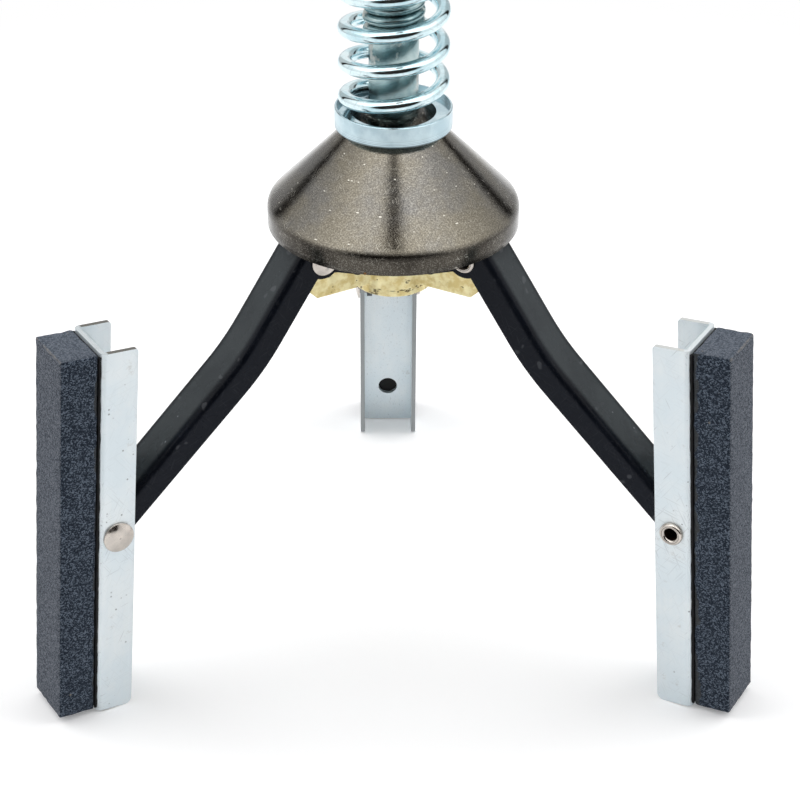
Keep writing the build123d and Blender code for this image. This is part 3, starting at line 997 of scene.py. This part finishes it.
@dataclass(frozen=True)
class SheetZinc(Finish):
    """Pale passivated zinc of the pressed holders, with scuffs and cut edges."""

    title: str = "sheet zinc"
    rounding: float = 0.2 * MM
    pale: Colour = (0.80, 0.855, 0.875)
    blue: Colour = (0.74, 0.82, 0.86)
    patches: float = 75.0
    rolling: Cloud = Cloud(1100.0, 3.0, 0.6)
    streaked: Ramp = Ramp(0.35, 0.75, (0.0, 0.35))
    smear: Colour = (0.40, 0.385, 0.35)
    smears: Cloud = Cloud(260.0, 5.0, 0.72, cut=(0.6, 0.74), gives=(0.0, 0.4))
    grey: Colour = (0.20, 0.215, 0.225)
    rubs: Lines = Lines(3600.0, 0.66, 0.2)
    rubbed: Ramp = Ramp(4.0 * MM, 16.0 * MM, (1.0, 0.25))
    dots: Dots = Dots(760.0, 0.24, 0.4, 0.8)
    dotted: Cloud = Cloud(140.0, 2.0, cut=(0.54, 0.64))
    scuffs: Lines = Lines(2700.0, 0.3, 0.26)
    wear: float = 0.4
    cut: Colour = (0.12, 0.115, 0.10)
    cut_faces: Ramp = Ramp(0.7, 0.9)
    web: Ramp = Ramp(3.0 * MM, 3.6 * MM, (1.0, 0.3))
    back: float = 1.0 * MM
    metal: float = 0.5
    gloss: Ramp = Ramp(0.3, 0.7, (0.32, 0.46))
    depth: float = 0.01 * MM

    def paint(self, surface: Surface) -> None:
        """Wire satin plate with rolling lines, dark dots, rubs round the rivet and raw edges."""
        graph = surface.graph
        out, _, height = surface.parts
        tone, _ = surface.drift(self.patches, self.blue, self.pale)
        rolled = surface.noise(self.rolling, graph.stretch(surface.vector, Grain.ALONG_Z))
        streaky = graph.blend(graph.ramp(rolled, self.streaked), tone, self.blue)
        smeared = graph.blend(surface.cloud(self.smears), streaky, self.smear)
        marks = graph.most(
            graph.times(surface.lines(self.rubs), graph.ramp(graph.reach(out, height), self.rubbed)),
            surface.lines(self.scuffs),
            graph.times(surface.dots(self.dots), surface.cloud(self.dotted)),
            surface.worn(self.wear),
        )
        sheet = graph.blend(marks, smeared, self.grey)
        ends = graph.times(surface.facing(2, self.cut_faces), graph.ramp(out, self.web))
        behind = graph.math("LESS_THAN", out, self.back)
        back = graph.times(surface.facing(0, self.cut_faces, -1.0), behind)
        surface.set(
            Base_Color=graph.blend(graph.most(ends, back), sheet, self.cut),
            Metallic=self.metal,
            Roughness=graph.ramp(rolled, self.gloss),
        )
        surface.bump(graph.minus(rolled, marks), self.depth)


@dataclass(frozen=True)
class WarmNickel(Finish):
    """Nickel plate of the rivets, a little warm, brown inside the rolled end."""

    title: str = "warm nickel"
    rounding: float = 0.2 * MM
    nickel: Colour = (0.64, 0.585, 0.53)
    grey: Colour = (0.52, 0.48, 0.44)
    patches: float = 260.0
    brown: Colour = (0.022, 0.010, 0.005)
    hollow: Ramp = Ramp(1.6 * MM, 1.72 * MM, DOWN)
    groove: float = 2.25 * MM
    groove_side: Ramp = Ramp(0.0, 0.18 * MM, DOWN)
    groove_weight: float = 0.6
    pits: Dots = Dots(1100.0, 0.2, 0.06, 0.5)
    metal: Range = (1.0, 0.3)
    gloss: Cloud = Cloud(800.0, gives=(0.12, 0.26))
    skin: Cloud = Cloud(1500.0)
    sunk: float = 6.0
    depth: float = 0.006 * MM

    def paint(self, surface: Surface) -> None:
        """Wire polished metal with a dark hollow and a ring pressed in by the rolling."""
        graph = surface.graph
        tone, _ = surface.drift(self.patches, self.grey, self.nickel)
        east, along, up = surface.parts
        off = graph.reach(east, up)
        rolled = graph.math("LESS_THAN", along, 0.0)
        hollow = graph.times(graph.ramp(off, self.hollow), rolled)
        off_groove = graph.math("ABSOLUTE", graph.minus(off, self.groove))
        groove = graph.times(graph.ramp(off_groove, self.groove_side), rolled)
        # brown in the pits, in the pressed groove and in the hollow of the rolled end
        browned = graph.most(surface.dots(self.pits), graph.times(groove, self.groove_weight), hollow)
        surface.set(
            Base_Color=graph.blend(browned, tone, self.brown),
            Metallic=graph.between(hollow, self.metal),
            Roughness=surface.cloud(self.gloss),
        )
        surface.bump(graph.minus(surface.noise(self.skin), graph.times(groove, self.sunk)), self.depth)


@dataclass(frozen=True)
class TurnedSteel(Finish):
    """Bright turned steel of the adjusting nut, with oil-dark knurling."""

    title: str = "turned steel"
    bright: Colour = (0.60, 0.61, 0.62)
    grey: Colour = (0.42, 0.43, 0.45)
    patches: float = 150.0
    oil: Colour = (0.05, 0.045, 0.04)
    dirt: Dots = Dots(700.0, 0.22, 0.08, 0.6)
    lathe: float = 3200.0
    gloss: Ramp = Ramp(0.3, 0.7, (0.18, 0.34))
    depth: float = 0.015 * MM

    def paint(self, surface: Surface) -> None:
        """Wire metal with lathe rings and specks of old oil."""
        tone, _ = surface.drift(self.patches, self.grey, self.bright)
        rings = surface.rings(self.lathe)
        surface.set(
            Base_Color=surface.graph.blend(surface.dots(self.dirt), tone, self.oil),
            Metallic=1.0,
            Roughness=surface.graph.ramp(rings, self.gloss),
        )
        surface.bump(rings, self.depth)


@dataclass(frozen=True)
class BlackBond(Finish):
    """Black adhesive behind the stones, glossy where it squeezed out."""

    title: str = "black bond"
    black: Colour = (0.004, 0.004, 0.005)
    grey: Colour = (0.010, 0.010, 0.011)
    patches: float = 400.0
    sheen: float = 0.16
    gloss: Range = (0.35, 0.6)
    skin: Cloud = Cloud(900.0, 4.0)
    depth: float = 0.08 * MM

    def paint(self, surface: Surface) -> None:
        """Wire a dark lumpy resin."""
        tone, share = surface.drift(self.patches, self.black, self.grey)
        surface.set(
            Base_Color=tone,
            Specular_IOR_Level=self.sheen,
            Roughness=surface.graph.between(share, self.gloss),
        )
        surface.bump(surface.noise(self.skin), self.depth)


@dataclass(frozen=True)
class SlateGrit(Finish):
    """Bonded abrasive of the stones: dark sawn sides and paler ground faces, partly their own finish and
    partly painted shade and light by which way a face looks; ends painted lighter; glue near the holder.
    """

    title: str = "slate grit"
    rounding: float = 0.3 * MM
    grains: float = 3700.0
    grain_weight: float = 0.86
    clumps: Cloud = Cloud(1500.0, 3.0, 0.65)
    clump_weight: float = 0.14
    # Sawn sides: their own dark grain, darkened further by painted shade.
    pit: Colour = (0.007, 0.013, 0.024)
    glint: Colour = (0.125, 0.155, 0.200)
    sawn: Ramp = Ramp(0.10, 0.92)
    sparkle: float = 3.0
    # Ground faces: their own paler finish, lightened further by painted light.
    ground_lit_low: Colour = (0.036, 0.044, 0.058)
    ground_lit_high: Colour = (0.160, 0.176, 0.208)
    ground: Ramp = Ramp(0.2, 0.95)
    side: Ramp = Ramp(0.55, 0.8)
    # End faces, the top among them, are painted lighter: painted light.
    end: Ramp = Ramp(0.6, 0.85, (0.0, 0.22))
    glue: Colour = (0.034, 0.036, 0.036)
    glue_weight: float = 0.8
    glue_from: float = 5.3 * MM
    glue_reach: float = 2.0 * MM
    glue_edge: Ramp = Ramp(0.0, 0.5 * MM)
    spread: Cloud = Cloud(190.0, cut=(0.3, 0.75), gives=(0.1, 1.0))
    fleck: Colour = (0.36, 0.31, 0.23)
    flecks: Dots = Dots(420.0, 0.16, 0.02, 0.45)
    # Pale outer end edges: partly rubbed wear, partly a painted highlight.
    edge: Colour = (0.30, 0.285, 0.265)
    edge_wear_and_highlight: float = 0.6
    near_face: Ramp = Ramp(14.35 * MM, 14.65 * MM)
    near_end: Ramp = Ramp(49.1 * MM, 49.65 * MM)
    ragged: Cloud = Cloud(700.0, cut=(0.35, 0.6))
    sheen: float = 0.2
    gloss: Range = (0.8, 0.5)
    skin: Cloud = Cloud(1500.0, 4.0)
    depth: float = 0.10 * MM
    strength: float = 0.7

    def paint(self, surface: Surface) -> None:
        """Wire grains of mixed tones, with pale outer edges that are partly rubbed wear and partly a
        painted highlight.
        """
        graph = surface.graph
        out, _, height = surface.parts
        grains = graph.red(graph.cells(surface.vector, self.grains)["Color"])
        clumps = graph.times(surface.noise(self.clumps), self.clump_weight)
        mixed = graph.plus(graph.times(grains, self.grain_weight), clumps)
        sparkle = graph.math("POWER", graph.ramp(mixed, self.sawn), self.sparkle)
        sawn = graph.blend(sparkle, self.pit, self.glint)
        ground = graph.blend(graph.ramp(mixed, self.ground), self.ground_lit_low, self.ground_lit_high)
        # painted light: the end faces blend towards the pale grain colour
        ground = graph.blend(surface.facing(2, self.end), ground, self.glint)
        side = surface.facing(1, self.side)
        limit = graph.plus(graph.times(surface.cloud(self.spread), self.glue_reach), self.glue_from)
        glued = graph.times(graph.ramp(graph.minus(limit, out), self.glue_edge), side)
        # dark tone on the side faces, pale tone on the others: partly real finish, partly painted shade and
        # light
        body = graph.blend(side, ground, sawn)
        body = graph.blend(graph.times(glued, self.glue_weight), body, self.glue)
        body = graph.blend(surface.dots(self.flecks), body, self.fleck)
        # pale outer end edges, partly wear and partly a painted highlight
        worn = graph.times(
            graph.ramp(out, self.near_face),
            graph.ramp(graph.math("ABSOLUTE", height), self.near_end),
            surface.cloud(self.ragged),
            self.edge_wear_and_highlight,
        )
        surface.set(
            Base_Color=graph.blend(worn, body, self.edge),
            Specular_IOR_Level=self.sheen,
            Roughness=graph.between(glued, self.gloss),
        )
        surface.bump(graph.plus(grains, surface.noise(self.skin)), self.depth, self.strength)


# Pieces that are modelled here


@dataclass(frozen=True)
class WoundWire:
    """A helix of round wire about the tool's axis. The wire is its radius, the mean the helix's."""

    wire: float
    mean: float
    pitch: float
    bottom: float
    bearing: float
    turns: float
    corners: int = 24
    steps_per_turn: int = 72
    smooth_to: float = 50.0

    def build(self, name: str) -> bpy.types.Object:
        """Wind the wire: a circle is carried round the axis by a screw, then both ends are closed.

        Args:
            name: Name of the piece.

        Returns:
            The piece.
        """
        Bench.clear()
        angle = radians(self.bearing)
        bpy.ops.mesh.primitive_circle_add(
            vertices=self.corners,
            radius=self.wire,
            location=(self.mean * cos(angle), self.mean * sin(angle), self.bottom),
            rotation=(pi / 2, 0.0, angle),
        )
        bench = Bench(name)
        steps = round(self.turns * self.steps_per_turn)
        bench.modify(
            "SCREW",
            angle=2 * pi * self.turns,
            screw_offset=self.pitch * self.turns,
            steps=steps,
            render_steps=steps,
            use_smooth_shade=True,
        )
        bench.edit("EDGE")
        bpy.ops.mesh.select_non_manifold()
        bpy.ops.mesh.fill_holes(sides=self.corners)
        bench.done()
        bench.face_outwards()
        bench.smooth(self.smooth_to)
        return bench.piece


@dataclass(frozen=True)
class TensionSpring:
    """Open coil spring that presses the cone down, in two halves.

    The radius is its outer one, and the bearing is where the wire ends below, in degrees.
    """

    radius: float = 13.4 * MM
    wire: float = 1.75 * MM
    pitch: float = 8.7 * MM
    end_bearing: float = 89.0

    def build(self) -> list[bpy.types.Object]:
        """Wind both halves.

        Returns:
            The two halves, the lower one first.
        """
        low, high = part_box("tension_spring")
        travel = high.z - low.z - 2 * self.wire
        turns = travel / self.pitch
        halves = []
        for number, part in enumerate(("lower", "upper")):
            wound = WoundWire(
                wire=self.wire,
                mean=self.radius - self.wire,
                pitch=self.pitch,
                bottom=low.z + self.wire + number * travel / 2,
                bearing=self.end_bearing + number * 360.0 * turns / 2,
                turns=turns / 2,
            )
            halves.append(wound.build(f"tension_spring_{part}"))
        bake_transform(halves[0])
        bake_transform(halves[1])
        for half in halves:
            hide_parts("tension_spring")
        return halves


@dataclass(frozen=True)
class CoilShaft:
    """Close-wound flexible shaft between the spindle and the drive shank."""

    wire: float = 1.3 * MM
    crest: float = 7.45 * MM
    pitch: float = 2.7 * MM
    end_bearing: float = 190.0
    corners: int = 18
    steps_per_turn: int = 48

    def build(self) -> bpy.types.Object:
        """Wind the shaft.

        Returns:
            The piece.
        """
        low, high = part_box("flexible_coil")
        wound = WoundWire(
            wire=self.wire,
            mean=self.crest - self.wire,
            pitch=self.pitch,
            bottom=low.z + self.wire,
            bearing=self.end_bearing,
            turns=(high.z - low.z - 2 * self.wire) / self.pitch,
            corners=self.corners,
            steps_per_turn=self.steps_per_turn,
        )
        piece = wound.build("coil_shaft")
        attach(piece, "spindle")
        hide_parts("flexible_coil")
        return piece


@dataclass(frozen=True)
class AbrasiveStone:
    """One honing stone, with a grainy skin and worn, chipped edges.

    The face is its outer side, counted from the rivet. A level is the tone of the lumps that moves nothing.
    """

    length: float = 100.0 * MM
    width: float = 15.0 * MM
    thickness: float = 9.6 * MM
    face: float = 14.9 * MM
    edge: float = 0.7 * MM
    edge_steps: int = 2
    edge_profile: float = 0.6
    grain: float = 0.8 * MM
    skin: float = 0.10 * MM
    skin_level: float = 0.75
    chip: float = 0.5 * MM
    chip_grain: float = 2.2 * MM
    chip_level: float = 0.85
    long_share: float = 0.7
    smooth_to: float = 60.0

    def model(self) -> bpy.types.Object:
        """Model the stone in its holder's own frame.

        Returns:
            The master.
        """
        Bench.clear()
        middle = self.face - self.thickness / 2
        size = Vector((self.thickness, self.width, self.length))
        bpy.ops.mesh.primitive_cube_add(size=1.0, location=(middle, 0, 0), scale=size)
        bench = Bench("stone_master")
        bench.edit("EDGE", "SELECT")
        bpy.ops.mesh.bevel(
            offset=self.edge, segments=self.edge_steps, profile=self.edge_profile, affect="EDGES"
        )
        for axis in (2, 1, 0):
            least = self.long_share * size[axis]
            bench.cut_edges(
                lambda a, b: abs(a[axis] - b[axis]) > least, round(size[axis] / self.grain) - 1
            )
        bench.done()
        self._chip_edges(bench, Vector((middle, 0.0, 0.0)), size / 2)
        bench.roughen("stone skin", self.grain, strength=self.skin, mid_level=self.skin_level)
        bench.smooth(self.smooth_to)
        return bench.piece

    def _chip_edges(self, bench: Bench, middle: Vector, half: Vector) -> None:
        """Wear the long and the short edges away in places.

        Args:
            bench: Stone on the bench.
            middle: The stone's middle.
            half: Half of its thickness, width and length.
        """
        group = bench.piece.vertex_groups.new(name="edges")
        for vertex in bench.piece.data.vertices:
            off = vertex.co - middle
            gaps = sorted(half[axis] - abs(off[axis]) for axis in range(3))
            weight = 1.0 - gaps[1] / (2 * self.edge)
            if weight > 0.0:
                group.add([vertex.index], weight, "REPLACE")
        bench.roughen(
            "stone chips",
            self.chip_grain,
            strength=self.chip,
            mid_level=self.chip_level,
            vertex_group="edges",
        )
        bench.piece.vertex_groups.clear()


@dataclass(frozen=True)
class BondBead:
    """Adhesive that squeezed out along both long edges of a stone."""

    radius: float = 0.42 * MM
    corners: int = 10
    length: float = 98.6 * MM
    cuts: int = 110
    out: float = 5.0 * MM
    off_middle: float = 7.25 * MM
    lump: float = 0.5 * MM
    lump_grain: float = 2.6 * MM
    lump_level: float = 0.62
    smooth_to: float = 70.0

    def model(self) -> bpy.types.Object:
        """Model both beads in the holder's own frame.

        Returns:
            The master.
        """
        beads = []
        for side in Side:
            Bench.clear()
            bpy.ops.mesh.primitive_cylinder_add(
                vertices=self.corners,
                radius=self.radius,
                depth=self.length,
                location=(self.out, side.value * self.off_middle, 0),
            )
            bench = Bench(f"bead_{side.name.lower()}")
            bench.edit("EDGE")
            bench.cut_edges(lambda a, b: abs(a.z - b.z) > self.length / 2, self.cuts)
            bench.done()
            bench.roughen("bead lumps", self.lump_grain, strength=self.lump, mid_level=self.lump_level)
            bench.smooth(self.smooth_to)
            beads.append(bench.piece)
        Bench.clear()
        for bead in beads:
            bead.select_set(True)
        bpy.context.view_layer.objects.active = beads[0]
        bpy.ops.object.join()
        return beads[0]


@dataclass(frozen=True)
class HoneArm:
    """One arm with its rivets, its holder and its stone: their places and their own looks."""

    number: int
    bearing: float
    # Colour of the holder's cut edges: the dark raw edge is real, lighter values are painted light for how
    # light falls on that arm.
    cut: Colour
    glue: float = 1.8 * MM
    stance: float = 4.5

    def arm_place(self) -> Place:
        """Give the arm's own frame, at its pivot."""
        return Place(joint_point(f"arm_swing_{self.number}"), self.bearing)

    def holder_place(self) -> Place:
        """Give the holder's own frame, at its pin."""
        return Place(joint_point(f"stone_level_{self.number}"), self.bearing, self.stance)

    def mount(self, master: bpy.types.Object, kind: str, slot: str) -> bpy.types.Object:
        """Copy a master onto this arm's holder.

        Args:
            master: Piece in the holder's own frame.
            kind: Name of the piece without its number.
            slot: Not used.

        Returns:
            The copy.
        """
        piece = copy_to(master, f"{kind}_{self.number}", self.holder_place())
        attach(piece, f"holder_{self.number}")
        return piece


# Studio


@dataclass(frozen=True)
class Zone:
    """Part of the room, from one swing and lift to another, in degrees, with soft edges.

    The swing is counted from the front to either side, the lift from the horizon.
    """

    swing: Range
    lift: Range
    soft_swing: float
    soft_lift: float

    def mask(self, graph: Graph, swing: Socket, lift: Socket) -> Socket:
        """Mark the zone.

        Args:
            graph: Tree of the world.
            swing: Swing of the direction, in radians.
            lift: Lift of the direction, in radians.

        Returns:
            The mask.
        """
        edges = []
        sides = ((swing, self.swing, self.soft_swing), (lift, self.lift, self.soft_lift))
        for value, limits, soft in sides:
            for limit, gives in zip(limits, (UP, DOWN)):
                edge = Ramp(radians(limit - soft), radians(limit + soft), gives)
                edges.append(graph.ramp(value, edge))
        return graph.times(*edges)


@dataclass(frozen=True)
class Lamp:
    """Soft box: its bearing from the front and lift in degrees, distance, size and power."""

    name: str
    bearing: float
    lift: float
    distance: float
    size: tuple[float, float]
    watts: float

    def hang(self, aim: Vector) -> None:
        """Hang the box so that it faces a point. Metal sees the room's zones in its place.

        Args:
            aim: Point that the box faces.
        """
        light = bpy.data.lights.new(self.name, "AREA")
        light.shape = "RECTANGLE"
        light.size, light.size_y = self.size
        light.energy = self.watts
        lamp = bpy.data.objects.new(self.name, light)
        bpy.context.scene.collection.objects.link(lamp)
        away = towards(self.bearing, self.lift)
        lamp.location = aim + self.distance * away
        lamp.rotation_euler = away.to_track_quat("Z", "Y").to_euler()
        lamp.visible_glossy = False


@dataclass(frozen=True)
class Studio:
    """Pale floor, plain soft light and the camera. Lengths are in metres, angles in degrees.

    The glow is the floor's own light, for other rays and for the camera, to which the floor turns plain
    white over the fade. Metal sees a white room: a brighter window, dimmer backs, dark gaps between soft
    boxes, and a dark oval lens round the front.
    """

    room: float = 6.0
    room_corners: int = 192
    front_edge: float = 0.52
    white: Colour = (0.93, 0.93, 0.935)
    matt: float = 0.9
    glow: Range = (0.1, 0.17)
    fade: Ramp = Ramp(0.20, 0.46)
    level: float = 0.46
    boxes: tuple[Lamp, ...] = (
        Lamp("box_left", -100.0, 40.0, 1.2, (1.0, 0.8), 5.6),
        Lamp("box_right", 100.0, 40.0, 1.2, (1.0, 0.8), 5.6),
        Lamp("box_top", 180.0, 80.0, 1.2, (1.3, 0.9), 6.2),
    )
    aim: Point = (0.0, 0.0, -0.15)
    window: Zone = Zone((-10.0, 125.0), (20.0, 78.0), 3.0, 6.0)
    window_light: Range = (1.3, 0.0)
    window_fade: Range = (45.0, 130.0)
    dim: Colour = (0.62, 0.62, 0.62)
    backs: tuple[Zone, ...] = (
        Zone((85.0, 190.0), (50.0, 95.0), 12.0, 8.0),
        Zone((137.0, 162.0), (-8.0, 34.0), 2.0, 6.0),
    )
    dark: Colour = (0.022, 0.018, 0.016)
    gaps: tuple[Zone, ...] = (
        Zone((-10.0, 12.5), (55.0, 74.0), 2.5, 3.0),
        Zone((127.0, 138.0), (-2.0, 46.0), 0.8, 5.0),
    )
    lens_middle: float = 12.0
    lens_reach: tuple[float, float] = (52.0, 31.5)
    lens_edge: Ramp = Ramp(0.9, 1.06, DOWN)
    focal: float = 104.86
    sensor: float = 36.0
    clip: Range = (0.01, 100.0)
    distance: float = 0.600
    elevation: float = 30.55
    azimuth: float = -1.17
    roll: float = 0.3
    target: Point = (0.0019, -0.00004, -0.19946)

    def floor(self, height: float) -> None:
        """Lay the floor, which shows the tool's soft shadow and turns plain white farther away.

        Args:
            height: Height of the floor.
        """
        Bench.clear()
        bpy.ops.mesh.primitive_circle_add(
            vertices=self.room_corners,
            radius=self.room,
            fill_type="NGON",
            location=(0.0, self.room - self.front_edge, height),
        )
        bench = Bench("studio_floor")
        material = bpy.data.materials.new("studio floor")
        material.use_nodes = True
        nodes = material.node_tree.nodes
        graph = Graph(material.node_tree)
        plain = graph.fill(
            nodes["Principled BSDF"], Base_Color=self.white, Roughness=self.matt, Specular_IOR_Level=0.0
        )
        seen = graph.node("LightPath").outputs["Is Camera Ray"]
        glow = graph.light("Emission", graph.between(seen, self.glow))
        both = graph.node("AddShader", plain[0], glow).outputs[0]
        east, north, _ = graph.parts(graph.node("NewGeometry").outputs["Position"])
        far = graph.times(graph.ramp(graph.reach(east, north), self.fade), seen)
        graph.fill(nodes["Material Output"], Surface=graph.mix(far, both, graph.light("Emission")))
        bench.piece.data.materials.append(material)

    def surroundings(self) -> None:
        """Make the room: white to the camera, plain to the rest, with dark gaps for metal to see."""
        world = bpy.data.worlds.new("studio")
        bpy.context.scene.world = world
        world.use_nodes = True
        world.node_tree.nodes.clear()
        graph = Graph(world.node_tree)
        path = graph.node("LightPath").outputs
        colour, strength = self._room(graph)
        room = graph.light("Background", strength, colour)
        first = graph.mix(path["Is Glossy Ray"], graph.light("Background", self.level), room)
        seen = graph.most(path["Is Camera Ray"], path["Is Transmission Ray"])
        second = graph.mix(seen, first, graph.light("Background"))
        graph.node("OutputWorld", second)

    def _room(self, graph: Graph) -> tuple[Socket, Socket]:
        """Wire the room as metal sees it.

        Args:
            graph: Tree of the world.

        Returns:
            The room's colour and its strength by direction.
        """
        east, north, up = graph.parts(graph.node("TexCoord").outputs["Generated"])
        swing = graph.math("ABSOLUTE", graph.bearing(east, north))
        lift = graph.math("ARCSINE", up)
        start, end = self.window_fade
        fade = graph.ramp(swing, Ramp(radians(start), radians(end), self.window_light))
        strength = graph.plus(graph.times(self.window.mask(graph, swing, lift), fade), 1.0)
        wide, tall = self.lens_reach
        across = graph.math("DIVIDE", swing, radians(wide))
        off = graph.minus(lift, radians(self.lens_middle))
        upward = graph.math("DIVIDE", off, radians(tall))
        lens = graph.ramp(graph.reach(across, upward), self.lens_edge)
        dark = graph.most(lens, *(gap.mask(graph, swing, lift) for gap in self.gaps))
        dimmed = graph.most(*(back.mask(graph, swing, lift) for back in self.backs))
        return graph.blend(dark, graph.blend(dimmed, WHITE, self.dim), self.dark), strength

    def camera(self) -> None:
        """Set up the camera at the photograph's angle."""
        back = towards(self.azimuth, self.elevation)
        right = (-back).cross(Vector((0, 0, 1))).normalized()
        up = right.cross(-back)
        turn = radians(self.roll)
        across = right * cos(turn) + up * sin(turn)
        upright = up * cos(turn) - right * sin(turn)
        data = bpy.data.cameras.new("studio camera")
        data.lens = self.focal
        data.sensor_width = self.sensor
        data.clip_start, data.clip_end = self.clip
        seat = bpy.data.objects.new("studio camera", data)
        bpy.context.scene.collection.objects.link(seat)
        turned = Matrix((across, upright, back)).transposed().to_4x4()
        seat.matrix_world = Matrix.Translation(Vector(self.target) + back * self.distance) @ turned
        bpy.context.scene.camera = seat

    def build(self) -> None:
        """Set up the whole studio."""
        self.floor(min(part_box(node)[0].z for node in frame["nodes"]))
        self.surroundings()
        for lamp in self.boxes:
            lamp.hang(Vector(self.aim))
        self.camera()
        bpy.context.scene.view_settings.view_transform = "Standard"


# The tool


class CylinderHone:
    """The whole tool: its carried-over pieces, its own pieces and their finishes.

    The shoulder is where the cone's lip turns into its slope, over the cone's foot.
    """

    shoulder: float = 9.1 * MM

    def __init__(self) -> None:
        """Make the shared effects and place the arms."""
        self.kit = Kit()
        # Arms 2 and 3 get cut edges lighter than the raw dark edge: painted light, for how light falls on
        # each arm.
        self.arms = (
            HoneArm(1, 210.0, cut=(0.12, 0.115, 0.10), glue=1.4 * MM),
            HoneArm(2, 90.0, cut=(0.30, 0.32, 0.325)),
            HoneArm(3, 330.0, cut=(0.62, 0.63, 0.62), glue=2.3 * MM),
        )

    def paint(self, finish: Finish, name: str, place: Place, *pieces: bpy.types.Object) -> None:
        """Give pieces one material.

        Args:
            finish: Finish of the pieces.
            name: Name that tells the material apart.
            place: Place that the pattern follows.
            pieces: Pieces that share the material.
        """
        material = finish.make(self.kit, name, place)
        for piece in pieces:
            if not piece.material_slots:
                piece.data.materials.append(material)
            for held in piece.material_slots:
                held.material = material
            log.info("%s: %s", piece.name, material.name)

    def dress_core(self) -> None:
        """Dress the carried-over pieces round the axis."""
        cone_low, cone_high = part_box("pressure_cone")
        finishes: dict[str, Finish] = {
            "spring_seat_ring": SeatZinc(foot=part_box("spring_seat_ring")[0].z),
            "upper_spring_cup": SeatZinc(foot=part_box("upper_spring_cup")[0].z),
            "spindle": DullZinc(),
            "drive_shank": DullZinc(),
            "pressure_cone": DarkNickel(shoulder=cone_low.z + self.shoulder, nose=cone_high.z),
            "hub": GoldCasting(foot=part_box("hub")[0].z),
            "adjusting_nut": TurnedSteel(),
        }
        for name, finish in finishes.items():
            self.paint(finish, name, Place(), frame["nodes"][name])

    def build_core(self) -> None:
        """Model the spring and the coil."""
        self.paint(WireZinc(), "spring", Place(), *TensionSpring().build())
        self.paint(DullZinc(), "coil", Place(), CoilShaft().build())

    def build_arms(self) -> None:
        """Dress the three arms, and model their stones and beads."""
        nodes = frame["nodes"]
        stone = AbrasiveStone().model()
        bead = BondBead().model()
        for arm in self.arms:
            key = str(arm.number)
            swing = arm.arm_place()
            stance = arm.holder_place()
            self.paint(BlackEnamel(), key, swing, nodes[f"arm_{key}"])
            self.paint(WarmNickel(), f"pivot {key}", swing, nodes[f"pivot_rivet_{key}"])
            self.paint(WarmNickel(), f"pin {key}", stance, nodes[f"holder_rivet_{key}"])
            self.paint(SheetZinc(cut=arm.cut), key, stance, nodes[f"stone_holder_{key}"])
            block = arm.mount(stone, "stone_block", "stone_grit")
            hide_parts(f"stone_{key}")
            self.paint(SlateGrit(glue_reach=arm.glue), key, stance, block)
            squeezed = arm.mount(bead, "bond_bead", "bond_black")
            self.paint(BlackBond(), key, stance, nodes[f"bond_{key}"], squeezed)
        for master in (stone, bead):
            bpy.data.objects.remove(master)


def main() -> None:
    """Build the tool and the studio."""
    logging.basicConfig(level=logging.INFO, format="%(name)s %(message)s")
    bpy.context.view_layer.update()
    hone = CylinderHone()
    hone.dress_core()
    hone.build_core()
    hone.build_arms()
    Studio().build()


if __name__ == "__main__":
    main()
